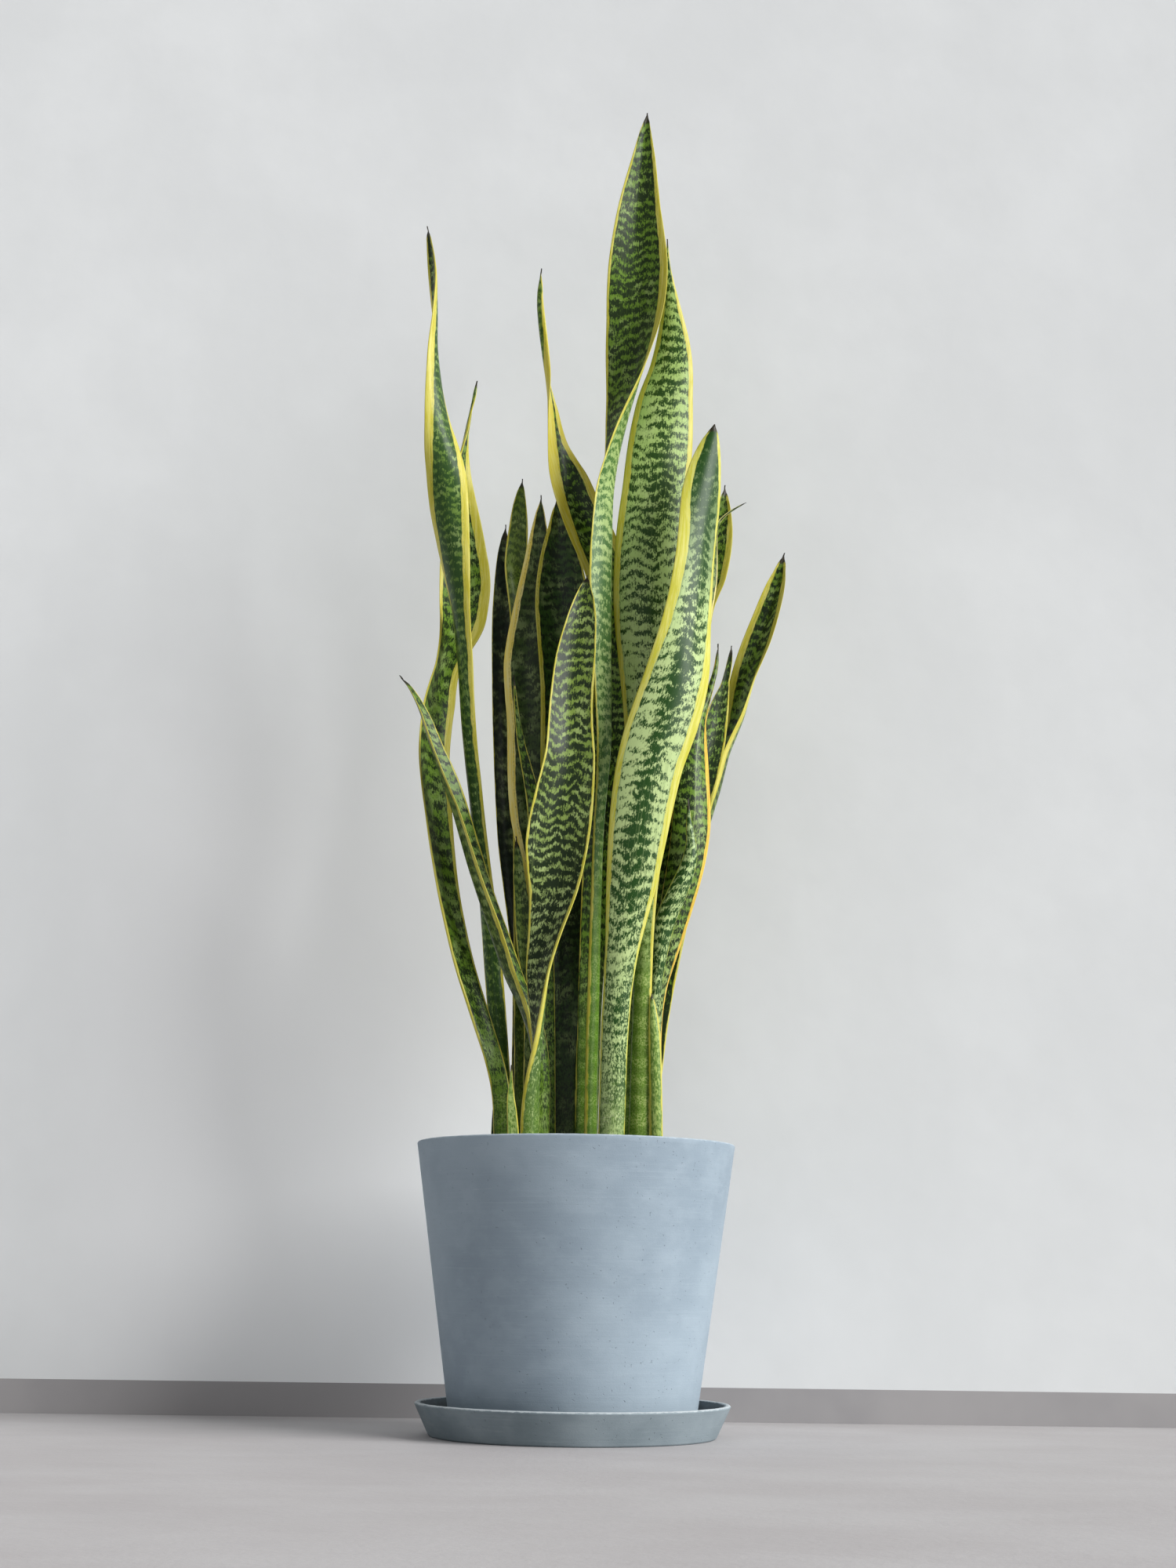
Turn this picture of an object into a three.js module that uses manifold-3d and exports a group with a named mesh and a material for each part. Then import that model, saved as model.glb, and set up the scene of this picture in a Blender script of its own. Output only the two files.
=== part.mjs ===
// A tall snake plant in a tapered pot on its saucer. Millimetres, +Z up, the saucer stands on z = 0.
// Each leaf grew as one piece: its foot sits in a pocket in the soil and it ends in a thin spike.

import * as THREE from 'three';
import { mergeVertices } from 'three/addons/utils/BufferGeometryUtils.js';
import Module from 'manifold-3d';

const wasm = await Module();
wasm.setup();

// Pot and saucer.
const POT_TOP_RADIUS = 150;
const POT_FOOT_RADIUS = 112.5;
const POT_HEIGHT = 259;
const POT_WALL = 7;
const POT_FLOOR = 9;
const DRAIN_RADIUS = 9;
const SAUCER_TOP_RADIUS = 145.5;
const SAUCER_FOOT_RADIUS = 132;
const SAUCER_HEIGHT = 30;
const SAUCER_WALL = 5.5;
const SAUCER_FLOOR = 6;
const FOOT_CHAMFER = 1.5;
const ROUND_SIDES = 96;
const RIM_ARC_STEPS = 6;

// Soil.
const CONTACT_GAP = 0.3;
const SOIL_EDGE_HEIGHT = 231;
const SOIL_CROWN = 7;
const SOIL_SHOULDER_RADIUS_SHARE = 0.8;
const SOIL_SHOULDER_CROWN_SHARE = 0.75;
const POCKET_CLEARANCE = 0.9;

// Leaves.
const LEAF_FOOT_HEIGHT = 205;
const SECTION_POINTS = 8;
const RINGS_PER_SPAN = 2;
const STALK_THICKNESS = 9;
const BLADE_THICKNESS = 3.6;
const SPIKE_THICKNESS = 1.2;
const STALK_TOP_HEIGHT = 290;
const BLADE_START_HEIGHT = 620;
const SPIKE_LENGTH = 70;
const THICKNESS_TO_WIDTH = 0.42;
const BLADE_CUP = 0.17;
const STALK_CUP = 0.12;
const CUP_START_HEIGHT = 430;

const POT_STAND = SAUCER_FLOOR + CONTACT_GAP;

// One station along a leaf: height, place in plan, width across the blade, and turn in degrees.
// A turn of 0 shows the hollow inner face to the front (-Y); a turn of 180 shows the rounded back.
const at = (height, x, y, width, turn) => ({ height, x, y, width, turn });

const LEAVES = {
  leaf_tall_centre: {
    cup: 0.22,
    stations: [
      at(LEAF_FOOT_HEIGHT, 13, -18, 20, -125),
      at(420, 13, -22, 19, -110),
      at(571, 16, -24, 24, -105),
      at(642, 20, -23, 32, -108),
      at(730, 18, -21, 40, -113),
      at(819, 16, -20, 46, -118),
      at(863, 16, -18, 48, -113),
      at(910, 16, -15, 50, -102),
      at(945, 19, -11, 52, -90),
      at(975, 24, -6, 54, -81),
      at(1010, 31, -2, 60, -69),
      at(1048, 39, 0, 66, -55),
      at(1121, 49, 4, 66, -27),
      at(1184, 52, 6, 62, -8),
      at(1248, 53, 6, 44, 0),
      at(1302, 57, 5, 25, 0),
      at(1335, 59, 5, 11, 0),
      at(1354, 61, 4, 1.2, 0),
    ],
  },
  leaf_tall_right: {
    cup: 0.13,
    stations: [
      at(LEAF_FOOT_HEIGHT, 58, -32, 22, 165),
      at(426, 61, -32, 20, 150),
      at(494, 62, -30, 26, 150),
      at(572, 65, -23, 38, 160),
      at(692, 67, -12, 54, 170),
      at(797, 64, -4, 68, 180),
      at(873, 67, 2, 71, 184),
      at(927, 72, 6, 69, 186),
      at(984, 77, 9, 66, 184),
      at(1033, 82, 10, 56, 180),
      at(1062, 87, 11, 46, 176),
      at(1094, 89, 12, 35, 172),
      at(1140, 87, 12, 17, 168),
      at(1180, 84, 12, 5, 168),
      at(1211, 83, 12, 1.2, 168),
    ],
  },
  leaf_front_broad: {
    cup: 0.14,
    stations: [
      at(LEAF_FOOT_HEIGHT, 31, -46, 24, 180),
      at(377, 35, -54, 26, 180),
      at(437, 40, -56, 31, 180),
      at(506, 49, -58, 48, 180),
      at(564, 56, -60, 58, 182),
      at(618, 65, -60, 65, 186),
      at(657, 76, -58, 71, 190),
      at(706, 90, -56, 69, 200),
      at(748, 98, -53, 64, 212),
      at(788, 104, -50, 58, 219),
      at(833, 109, -46, 53, 221),
      at(875, 113, -42, 49, 216),
      at(908, 116, -38, 44, 207),
      at(942, 121, -34, 32, 198),
      at(968, 126, -31, 17, 188),
      at(985, 130, -29, 1.2, 180),
    ],
  },
  leaf_front_dark: {
    stations: [
      at(LEAF_FOOT_HEIGHT, -43, -46, 20, -160),
      at(300, -43, -52, 20, -135),
      at(350, -40, -55, 21, -92),
      at(388, -39, -57, 25, -60),
      at(424, -38, -58, 31, -42),
      at(457, -32, -60, 38, -32),
      at(497, -25, -62, 48, -14),
      at(545, -22, -63, 60, 0),
      at(597, -15, -63, 57, 15),
      at(631, -11, -63, 50, 18),
      at(678, -11, -61, 43, 15),
      at(730, -7, -59, 39, 10),
      at(777, -1, -56, 26, 5),
      at(798, 1, -54, 14, 0),
      at(814, 3, -53, 1.2, 0),
    ],
  },
  leaf_left_tall: {
    stations: [
      at(LEAF_FOOT_HEIGHT, -62, 8, 18, 180),
      at(396, -79, 9, 18, 178),
      at(491, -89, 6, 19, 145),
      at(567, -99, 2, 19, 135),
      at(673, -112, -5, 22, 130),
      at(740, -117, -10, 27, 125),
      at(789, -122, -13, 32, 126),
      at(825, -127, -14, 36, 138),
      at(896, -137, -14, 42, 162),
      at(938, -142, -13, 40, 182),
      at(989, -151, -12, 36, 222),
      at(1024, -156, -12, 31, 237),
      at(1076, -160, -12, 24, 257),
      at(1103, -160, -12, 20, 270),
      at(1154, -162, -12, 16, 303),
      at(1189, -166, -12, 8, 318),
      at(1209, -169, -12, 1.2, 320),
    ],
  },
  leaf_left_bowed: {
    stations: [
      at(LEAF_FOOT_HEIGHT, -66, -24, 17, 0),
      at(318, -73, -23, 18, 10),
      at(366, -87, -21, 21, 30),
      at(425, -107, -18, 25, 42),
      at(469, -119, -14, 30, 50),
      at(521, -130, -8, 36, 55),
      at(573, -138, -2, 42, 55),
      at(648, -146, 6, 46, 52),
      at(703, -142, 12, 50, 57),
      at(736, -136, 15, 50, 66),
      at(765, -128, 17, 51, 52),
      at(784, -123, 18, 52, 35),
      at(830, -121, 18, 53, 15),
      at(864, -123, 18, 48, 17),
      at(898, -124, 18, 36, 20),
      at(949, -126, 18, 21, 45),
      at(992, -122, 18, 12, 90),
      at(1049, -114, 17, 1.2, 120),
    ],
  },
  leaf_left_arching: {
    cup: 0.38,
    stations: [
      at(LEAF_FOOT_HEIGHT, -36, -26, 20, 40),
      at(338, -34, -26, 24, 55),
      at(385, -42, -28, 28, 68),
      at(418, -55, -30, 31, 76),
      at(465, -72, -33, 32, 78),
      at(524, -94, -34, 31, 75),
      at(581, -113, -33, 29, 70),
      at(615, -127, -32, 26, 60),
      at(650, -142, -30, 20, 58),
      at(681, -155, -28, 13, 55),
      at(703, -168, -27, 7, 50),
      at(717, -180, -26, 1.2, 50),
    ],
  },
  leaf_back_left_upper: {
    stations: [
      at(LEAF_FOOT_HEIGHT, -50, 30, 17, 0),
      at(400, -52, 41, 22, 10),
      at(600, -56, 48, 26, 20),
      at(740, -60, 52, 27, 25),
      at(809, -65, 52, 26, 30),
      at(857, -71, 51, 24, 20),
      at(899, -69, 49, 20, 0),
      at(928, -68, 49, 13, 0),
      at(954, -66, 49, 1.2, 0),
    ],
  },
  leaf_back_left_strip: {
    stations: [
      at(LEAF_FOOT_HEIGHT, -30, 33, 20, 0),
      at(400, -31, 35, 23, 0),
      at(486, -34, 36, 28, 0),
      at(549, -42, 38, 38, 0),
      at(588, -49, 38, 42, 0),
      at(630, -52, 38, 44, 0),
      at(689, -53, 38, 46, 0),
      at(750, -57, 38, 47, 0),
      at(804, -52, 38, 42, 0),
      at(853, -48, 38, 31, 0),
      at(891, -47, 38, 18, 0),
      at(932, -46, 38, 1.2, 0),
    ],
  },
  leaf_back_shadow: {
    stations: [
      at(LEAF_FOOT_HEIGHT, -56, 52, 14, 0),
      at(442, -58, 58, 18, 20),
      at(493, -62, 60, 22, 20),
      at(560, -70, 62, 26, 20),
      at(627, -75, 64, 27, 20),
      at(700, -79, 65, 27, 20),
      at(792, -82, 65, 26, 15),
      at(832, -82, 65, 24, 10),
      at(877, -84, 65, 13, 5),
      at(909, -83, 65, 1.2, 0),
    ],
  },
  leaf_back_wide: {
    stations: [
      at(LEAF_FOOT_HEIGHT, -14, 14, 29, 0),
      at(359, -15, 14, 31, 5),
      at(434, -12, 16, 41, 5),
      at(541, -12, 20, 50, 5),
      at(638, -13, 24, 56, 5),
      at(724, -15, 27, 55, 0),
      at(816, -22, 28, 55, 0),
      at(863, -25, 28, 40, 0),
      at(893, -27, 28, 22, 0),
      at(926, -30, 28, 1.2, 0),
    ],
  },
  leaf_twisted_yellow: {
    stations: [
      at(LEAF_FOOT_HEIGHT, 9, 3, 21, 0),
      at(420, 12, 3, 24, 0),
      at(560, 20, 5, 34, 0),
      at(680, 27, 8, 40, 5),
      at(742, 28, 10, 40, 8),
      at(790, 28, 12, 42, 10),
      at(835, 24, 14, 46, 12),
      at(877, 9, 14, 51, 12),
      at(921, -9, 13, 46, 12),
      at(948, -18, 12, 42, 20),
      at(982, -29, 10, 28, 44),
      at(1016, -34, 9, 21, 62),
      at(1046, -38, 8, 17, 92),
      at(1085, -44, 7, 13, 120),
      at(1138, -50, 6, 8, 140),
      at(1172, -49, 6, 1.2, 150),
    ],
  },
  leaf_right_behind: {
    stations: [
      at(LEAF_FOOT_HEIGHT, 48, 26, 19, 0),
      at(430, 66, 26, 24, -10),
      at(560, 88, 28, 30, -15),
      at(680, 102, 26, 36, -15),
      at(760, 108, 20, 36, -10),
      at(805, 116, 13, 33, 0),
      at(830, 126, 10, 33, 0),
      at(857, 133, 8, 31, 0),
      at(881, 138, 6, 25, 0),
      at(904, 141, 5, 16, 0),
      at(933, 143, 5, 1.2, 0),
    ],
  },
  leaf_hooked_tip: {
    stations: [
      at(LEAF_FOOT_HEIGHT, 46, -4, 16, 0),
      at(320, 48, -4, 16, 0),
      at(450, 54, -4, 20, 5),
      at(600, 72, 2, 26, 12),
      at(700, 98, 1, 25, 20),
      at(760, 114, -7, 23, 35),
      at(830, 129, -10, 15, 50),
      at(870, 132, -9, 8, 60),
      at(888, 136, -9, 5, 60),
      at(899, 147, -9, 4, 60),
      at(905, 156, -9, 3, 60),
      at(909, 163, -9, 1.2, 60),
    ],
  },
  leaf_right_outer: {
    cup: 0.26,
    stations: [
      at(LEAF_FOOT_HEIGHT, 72, 14, 16, -100),
      at(346, 77, 24, 15, -100),
      at(453, 88, 34, 20, -95),
      at(560, 112, 42, 32, -85),
      at(626, 130, 46, 38, -80),
      at(660, 138, 46, 40, -74),
      at(697, 152, 46, 40, -66),
      at(739, 163, 45, 38, -50),
      at(775, 176, 44, 35, -32),
      at(810, 188, 43, 29, -25),
      at(843, 198, 42, 19, -15),
      at(874, 207, 42, 1.2, -10),
    ],
  },
  leaf_right_mid: {
    stations: [
      at(LEAF_FOOT_HEIGHT, 60, 6, 16, 0),
      at(400, 80, 8, 20, 5),
      at(520, 102, 9, 26, 10),
      at(601, 116, 10, 28, 15),
      at(654, 129, 12, 27, 20),
      at(700, 137, 14, 21, 20),
      at(724, 143, 15, 9, 10),
      at(750, 148, 16, 5, 0),
      at(765, 150, 16, 1.2, 0),
    ],
  },
  leaf_right_gold_edge: {
    stations: [
      at(LEAF_FOOT_HEIGHT, 71, -9, 15, 180),
      at(402, 74, -10, 18, 180),
      at(430, 80, -10, 20, 180),
      at(460, 87, -10, 26, 182),
      at(502, 96, -9, 34, 185),
      at(540, 104, -8, 38, 190),
      at(575, 108, -7, 40, 195),
      at(610, 109, -5, 38, 200),
      at(645, 110, -4, 33, 205),
      at(684, 116, -3, 18, 215),
      at(705, 124, -2, 9, 215),
      at(738, 133, 0, 5, 215),
      at(762, 135, 0, 1.2, 210),
    ],
  },
  leaf_right_low: {
    stations: [
      at(LEAF_FOOT_HEIGHT, 72, -23, 11, 175),
      at(390, 72, -24, 11, 175),
      at(431, 76, -25, 13, 178),
      at(474, 82, -27, 20, 180),
      at(502, 93, -27, 21, 182),
      at(531, 104, -26, 16, 185),
      at(550, 107, -26, 11, 185),
      at(572, 105, -26, 6, 185),
      at(597, 104, -26, 1.2, 185),
    ],
  },
  leaf_inner_small: {
    stations: [
      at(LEAF_FOOT_HEIGHT, -26, -5, 15, 20),
      at(380, -31, -7, 19, 20),
      at(500, -37, -10, 22, 20),
      at(560, -41, -13, 19, 20),
      at(608, -49, -16, 13, 15),
      at(650, -59, -17, 8, 10),
      at(688, -65, -18, 4, 10),
      at(721, -68, -18, 1.2, 10),
    ],
  },
  leaf_grey_small: {
    stations: [
      at(LEAF_FOOT_HEIGHT, -43, 6, 13, 0),
      at(409, -46, 2, 16, 0),
      at(456, -52, -3, 17, 0),
      at(496, -56, -7, 15, 0),
      at(534, -60, -10, 10, 0),
      at(560, -63, -11, 1.2, 0),
    ],
  },
  shoot_left: {
    stations: [
      at(LEAF_FOOT_HEIGHT, -56, -57, 11, 0),
      at(281, -59, -60, 10, 0),
      at(303, -61, -61, 7, 0),
      at(316, -61, -61, 3.5, 0),
      at(333, -61, -62, 1.2, 0),
    ],
  },
  spike_left: {
    stations: [
      at(LEAF_FOOT_HEIGHT, -77, -10, 6, 0),
      at(273, -78, -10, 5, 0),
      at(296, -79, -10, 1.2, 0),
    ],
  },
  shoot_right: {
    stations: [
      at(LEAF_FOOT_HEIGHT, 76, -40, 11, 180),
      at(338, 73, -40, 12, 180),
      at(366, 72, -40, 11, 180),
      at(393, 70, -40, 6, 180),
      at(404, 69, -40, 1.2, 180),
    ],
  },
};

const FINISHES = {
  composite: { color: 0x93a1ae, roughness: 0.82, metalness: 0 },
  saucer: { color: 0x8794a1, roughness: 0.85, metalness: 0 },
  soil: { color: 0x3a2c20, roughness: 1, metalness: 0 },
  leaf: { color: 0x5f7f4a, roughness: 0.42, metalness: 0 },
  darkLeaf: { color: 0x2f4630, roughness: 0.45, metalness: 0 },
  paleLeaf: { color: 0x9fb98a, roughness: 0.4, metalness: 0 },
  shoot: { color: 0xb9c58f, roughness: 0.5, metalness: 0 },
};

const DARK_LEAVES = ['leaf_back_left_upper', 'leaf_back_left_strip', 'leaf_back_shadow', 'leaf_back_wide'];
const PALE_LEAVES = ['leaf_front_broad', 'leaf_tall_right'];

// --- Leaf blades ---

// Slope of one quantity at station i, from its neighbours on both sides.
function stationSlope(stations, i, key) {
  const before = stations[Math.max(i - 1, 0)];
  const after = stations[Math.min(i + 1, stations.length - 1)];
  return (after[key] - before[key]) / (after.height - before.height);
}

// Smooth value of one quantity between stations i and i + 1, at share t of the way up.
function smoothBetween(stations, i, t, key) {
  const low = stations[i];
  const high = stations[i + 1];
  const rise = high.height - low.height;
  const slopeLow = stationSlope(stations, i, key) * rise;
  const slopeHigh = stationSlope(stations, i + 1, key) * rise;
  const t2 = t * t;
  const t3 = t2 * t;
  const fromLow = (2 * t3 - 3 * t2 + 1) * low[key] + (t3 - 2 * t2 + t) * slopeLow;
  const fromHigh = (3 * t2 - 2 * t3) * high[key] + (t3 - t2) * slopeHigh;
  return fromLow + fromHigh;
}

// The stations and the rings between them, from the foot to the tip.
function leafRings(stations) {
  const rings = [];
  for (let i = 0; i < stations.length - 1; i += 1) {
    for (let step = 0; step < RINGS_PER_SPAN; step += 1) {
      const t = step / RINGS_PER_SPAN;
      const ring = { height: THREE.MathUtils.lerp(stations[i].height, stations[i + 1].height, t) };
      for (const key of ['x', 'y', 'width', 'turn']) {
        ring[key] = smoothBetween(stations, i, t, key);
      }
      rings.push(ring);
    }
  }
  rings.push(stations[stations.length - 1]);
  return rings;
}

// A leaf is thick and stiff at its stalk, thin in the blade and thinner still in the spike.
function leafThickness(ring, tipHeight) {
  const { smoothstep, lerp } = THREE.MathUtils;
  const toBlade = smoothstep(ring.height, STALK_TOP_HEIGHT, BLADE_START_HEIGHT);
  const toSpike = smoothstep(ring.height, tipHeight - SPIKE_LENGTH, tipHeight);
  const plain = lerp(lerp(STALK_THICKNESS, BLADE_THICKNESS, toBlade), SPIKE_THICKNESS, toSpike);
  return Math.min(plain, Math.max(ring.width * THICKNESS_TO_WIDTH, SPIKE_THICKNESS));
}

// A stalk is only slightly hollow and opens into the blade's own cup higher up.
function leafCup(ring, bladeCup) {
  const { smoothstep, lerp } = THREE.MathUtils;
  return lerp(STALK_CUP, bladeCup, smoothstep(ring.height, STALK_TOP_HEIGHT, CUP_START_HEIGHT));
}

// One level section: a thin ellipse bent along a parabola, so that the inner face is hollow.
// The two margins stay on the station's line and the middle sags behind it.
function sectionPoints(ring, thickness, cup, grow) {
  const turn = THREE.MathUtils.degToRad(ring.turn);
  const across = new THREE.Vector2(Math.cos(turn), Math.sin(turn));
  const facing = new THREE.Vector2(Math.sin(turn), -Math.cos(turn));
  const points = [];
  for (let k = 0; k < SECTION_POINTS; k += 1) {
    const angle = (2 * Math.PI * k) / SECTION_POINTS;
    const share = Math.cos(angle);
    const hollow = cup * ring.width * (share * share - 1);
    const reach = share * (ring.width / 2 + grow);
    const depth = hollow + Math.sin(angle) * (thickness / 2 + grow);
    const x = ring.x + reach * across.x + depth * facing.x;
    const y = ring.y + reach * across.y + depth * facing.y;
    points.push(x, y, ring.height);
  }
  return points;
}

// End cap as a ladder of triangles from margin to margin, which suits a bent section.
function capTriangles(first, facesUp) {
  const triangles = [];
  const add = (a, b, c) => {
    if (facesUp) triangles.push(first + a, first + c, first + b);
    else triangles.push(first + a, first + b, first + c);
  };
  const half = SECTION_POINTS / 2;
  add(0, 1, SECTION_POINTS - 1);
  for (let k = 1; k < half - 1; k += 1) {
    add(k, k + 1, SECTION_POINTS - k - 1);
    add(k, SECTION_POINTS - k - 1, SECTION_POINTS - k);
  }
  add(half - 1, half, half + 1);
  return triangles;
}

// The closed skin through all the sections. grow adds an even skin, for the pocket in the soil.
function leafGeometry({ stations, cup = BLADE_CUP }, grow = 0) {
  const rings = leafRings(stations);
  const tipHeight = stations[stations.length - 1].height;
  rings[0] = { ...rings[0], height: rings[0].height - grow };
  const positions = rings.flatMap((ring) => {
    return sectionPoints(ring, leafThickness(ring, tipHeight), leafCup(ring, cup), grow);
  });
  const triangles = capTriangles(0, false);
  for (let i = 0; i < rings.length - 1; i += 1) {
    for (let k = 0; k < SECTION_POINTS; k += 1) {
      const low = i * SECTION_POINTS + k;
      const lowNext = i * SECTION_POINTS + ((k + 1) % SECTION_POINTS);
      const high = low + SECTION_POINTS;
      const highNext = lowNext + SECTION_POINTS;
      triangles.push(low, high, highNext, low, highNext, lowNext);
    }
  }
  triangles.push(...capTriangles((rings.length - 1) * SECTION_POINTS, true));
  const geometry = new THREE.BufferGeometry();
  geometry.setAttribute('position', new THREE.Float32BufferAttribute(positions, 3));
  geometry.setIndex(triangles);
  geometry.computeVertexNormals();
  return geometry;
}

// --- Turned pieces ---

// Points of a half circle over a wall's top, from its outer face round to its inner face.
function rimArc(outerRadius, wall, height) {
  const points = [];
  for (let k = 0; k <= RIM_ARC_STEPS; k += 1) {
    const angle = (Math.PI * k) / RIM_ARC_STEPS;
    const radius = outerRadius - wall / 2 + (wall / 2) * Math.cos(angle);
    points.push(new THREE.Vector2(radius, height - wall / 2 + (wall / 2) * Math.sin(angle)));
  }
  return points;
}

// A lathe turns about Y, so it is stood up on Z.
function turned(points) {
  return new THREE.LatheGeometry(points, ROUND_SIDES).rotateX(Math.PI / 2);
}

// Radius of the pot's outer face at a height above the pot's own foot.
function potRadius(height) {
  return THREE.MathUtils.lerp(POT_FOOT_RADIUS, POT_TOP_RADIUS, height / POT_HEIGHT);
}

function potGeometry() {
  const outline = [
    new THREE.Vector2(DRAIN_RADIUS, 0),
    new THREE.Vector2(POT_FOOT_RADIUS - FOOT_CHAMFER, 0),
    new THREE.Vector2(potRadius(FOOT_CHAMFER), FOOT_CHAMFER),
    ...rimArc(POT_TOP_RADIUS, POT_WALL, POT_HEIGHT),
    new THREE.Vector2(potRadius(POT_FLOOR) - POT_WALL, POT_FLOOR),
    new THREE.Vector2(DRAIN_RADIUS, POT_FLOOR),
  ];
  return turned([...outline, outline[0].clone()]);
}

function saucerGeometry() {
  const slope = (SAUCER_TOP_RADIUS - SAUCER_FOOT_RADIUS) / SAUCER_HEIGHT;
  return turned([
    new THREE.Vector2(0, 0),
    new THREE.Vector2(SAUCER_FOOT_RADIUS - FOOT_CHAMFER, 0),
    new THREE.Vector2(SAUCER_FOOT_RADIUS + slope * FOOT_CHAMFER, FOOT_CHAMFER),
    ...rimArc(SAUCER_TOP_RADIUS, SAUCER_WALL, SAUCER_HEIGHT),
    new THREE.Vector2(SAUCER_FOOT_RADIUS + slope * SAUCER_FLOOR - SAUCER_WALL, SAUCER_FLOOR),
    new THREE.Vector2(0, SAUCER_FLOOR),
  ]);
}

// --- Soil, with a pocket for each leaf's foot ---

function toManifold(geometry) {
  const bare = geometry.clone();
  bare.deleteAttribute('normal');
  bare.deleteAttribute('uv');
  const merged = mergeVertices(bare, 1e-3);
  const vertProperties = new Float32Array(merged.attributes.position.array);
  const triVerts = new Uint32Array(merged.index.array);
  return new wasm.Manifold(new wasm.Mesh({ numProp: 3, vertProperties, triVerts }));
}

function fromManifold(solid) {
  const mesh = solid.getMesh();
  const geometry = new THREE.BufferGeometry();
  geometry.setAttribute('position', new THREE.Float32BufferAttribute(mesh.vertProperties, 3));
  geometry.setIndex(Array.from(mesh.triVerts));
  geometry.computeVertexNormals();
  return geometry;
}

function soilGeometry() {
  const floor = POT_STAND + POT_FLOOR + CONTACT_GAP;
  const innerRadius = (height) => potRadius(height - POT_STAND) - POT_WALL - CONTACT_GAP;
  const edgeRadius = innerRadius(SOIL_EDGE_HEIGHT);
  const body = turned([
    new THREE.Vector2(0, floor),
    new THREE.Vector2(innerRadius(floor), floor),
    new THREE.Vector2(edgeRadius, SOIL_EDGE_HEIGHT),
    new THREE.Vector2(
      edgeRadius * SOIL_SHOULDER_RADIUS_SHARE,
      SOIL_EDGE_HEIGHT + SOIL_CROWN * SOIL_SHOULDER_CROWN_SHARE,
    ),
    new THREE.Vector2(0, SOIL_EDGE_HEIGHT + SOIL_CROWN),
  ]);
  let soil = toManifold(body);
  for (const leaf of Object.values(LEAVES)) {
    soil = soil.subtract(toManifold(leafGeometry(leaf, POCKET_CLEARANCE)));
  }
  return fromManifold(soil);
}

// --- The whole plant ---

function addPart(group, name, geometry, finish) {
  const mesh = new THREE.Mesh(geometry, new THREE.MeshStandardMaterial(finish));
  mesh.name = name;
  group.add(mesh);
  return mesh;
}

function leafFinish(name) {
  if (!name.startsWith('leaf')) return FINISHES.shoot;
  if (DARK_LEAVES.includes(name)) return FINISHES.darkLeaf;
  if (PALE_LEAVES.includes(name)) return FINISHES.paleLeaf;
  return FINISHES.leaf;
}

const plant = new THREE.Group();
addPart(plant, 'saucer', saucerGeometry(), FINISHES.saucer);
addPart(plant, 'pot', potGeometry(), FINISHES.composite).position.z = POT_STAND;
addPart(plant, 'soil', soilGeometry(), FINISHES.soil);
for (const [name, leaf] of Object.entries(LEAVES)) {
  addPart(plant, name, leafGeometry(leaf), leafFinish(name));
}

export default plant;
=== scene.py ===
"""A variegated snake plant in a composite pot on its saucer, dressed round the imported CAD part.

The leaves are grown again as fine surfaces from the rings of their CAD solids, the pot and the
saucer are turned from profiles, and the soil is a crumbly bed. Everything is in metres.
"""

import logging
import math
from dataclasses import dataclass
from enum import Enum
from typing import ClassVar

import bpy
import numpy as np
from mathutils import Matrix, Vector


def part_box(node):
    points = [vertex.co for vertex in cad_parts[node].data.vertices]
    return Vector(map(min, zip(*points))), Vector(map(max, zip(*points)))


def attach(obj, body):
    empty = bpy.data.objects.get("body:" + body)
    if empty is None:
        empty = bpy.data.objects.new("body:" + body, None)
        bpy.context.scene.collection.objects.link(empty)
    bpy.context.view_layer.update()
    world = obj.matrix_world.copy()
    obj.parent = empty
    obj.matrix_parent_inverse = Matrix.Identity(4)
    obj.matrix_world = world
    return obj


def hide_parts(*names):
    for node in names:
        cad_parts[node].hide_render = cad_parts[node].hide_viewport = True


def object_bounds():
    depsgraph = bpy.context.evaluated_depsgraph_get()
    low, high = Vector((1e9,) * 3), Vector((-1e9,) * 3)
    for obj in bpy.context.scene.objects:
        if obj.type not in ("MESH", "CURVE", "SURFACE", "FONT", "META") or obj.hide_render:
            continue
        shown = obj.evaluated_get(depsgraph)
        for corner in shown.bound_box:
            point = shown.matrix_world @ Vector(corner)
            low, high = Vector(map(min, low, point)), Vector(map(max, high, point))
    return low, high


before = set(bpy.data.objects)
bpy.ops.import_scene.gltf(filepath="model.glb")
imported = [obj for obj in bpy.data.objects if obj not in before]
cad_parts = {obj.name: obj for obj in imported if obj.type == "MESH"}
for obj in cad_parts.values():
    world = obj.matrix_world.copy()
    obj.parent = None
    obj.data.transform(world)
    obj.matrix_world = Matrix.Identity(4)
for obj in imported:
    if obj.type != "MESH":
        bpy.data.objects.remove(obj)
CAD_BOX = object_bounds()

LOG = logging.getLogger("snake_plant")
MM = 0.001
BODY = "root"

Colour = tuple[float, float, float]
Steps = tuple[tuple[float, float], ...]


def srgb(red: int, green: int, blue: int) -> Colour:
    """Turn a display colour of three 0 to 255 numbers into a linear one."""
    def channel(value: int) -> float:
        """Undo the display curve of one channel."""
        share = value / 255
        return share / 12.92 if share <= 0.04045 else ((share + 0.055) / 1.055) ** 2.4
    return channel(red), channel(green), channel(blue)


def dimmed(colour: Colour, share: float) -> Colour:
    """This share of a colour."""
    return tuple(channel * share for channel in colour)


# --------------------------------------------------------------------------- shader expressions


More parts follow.
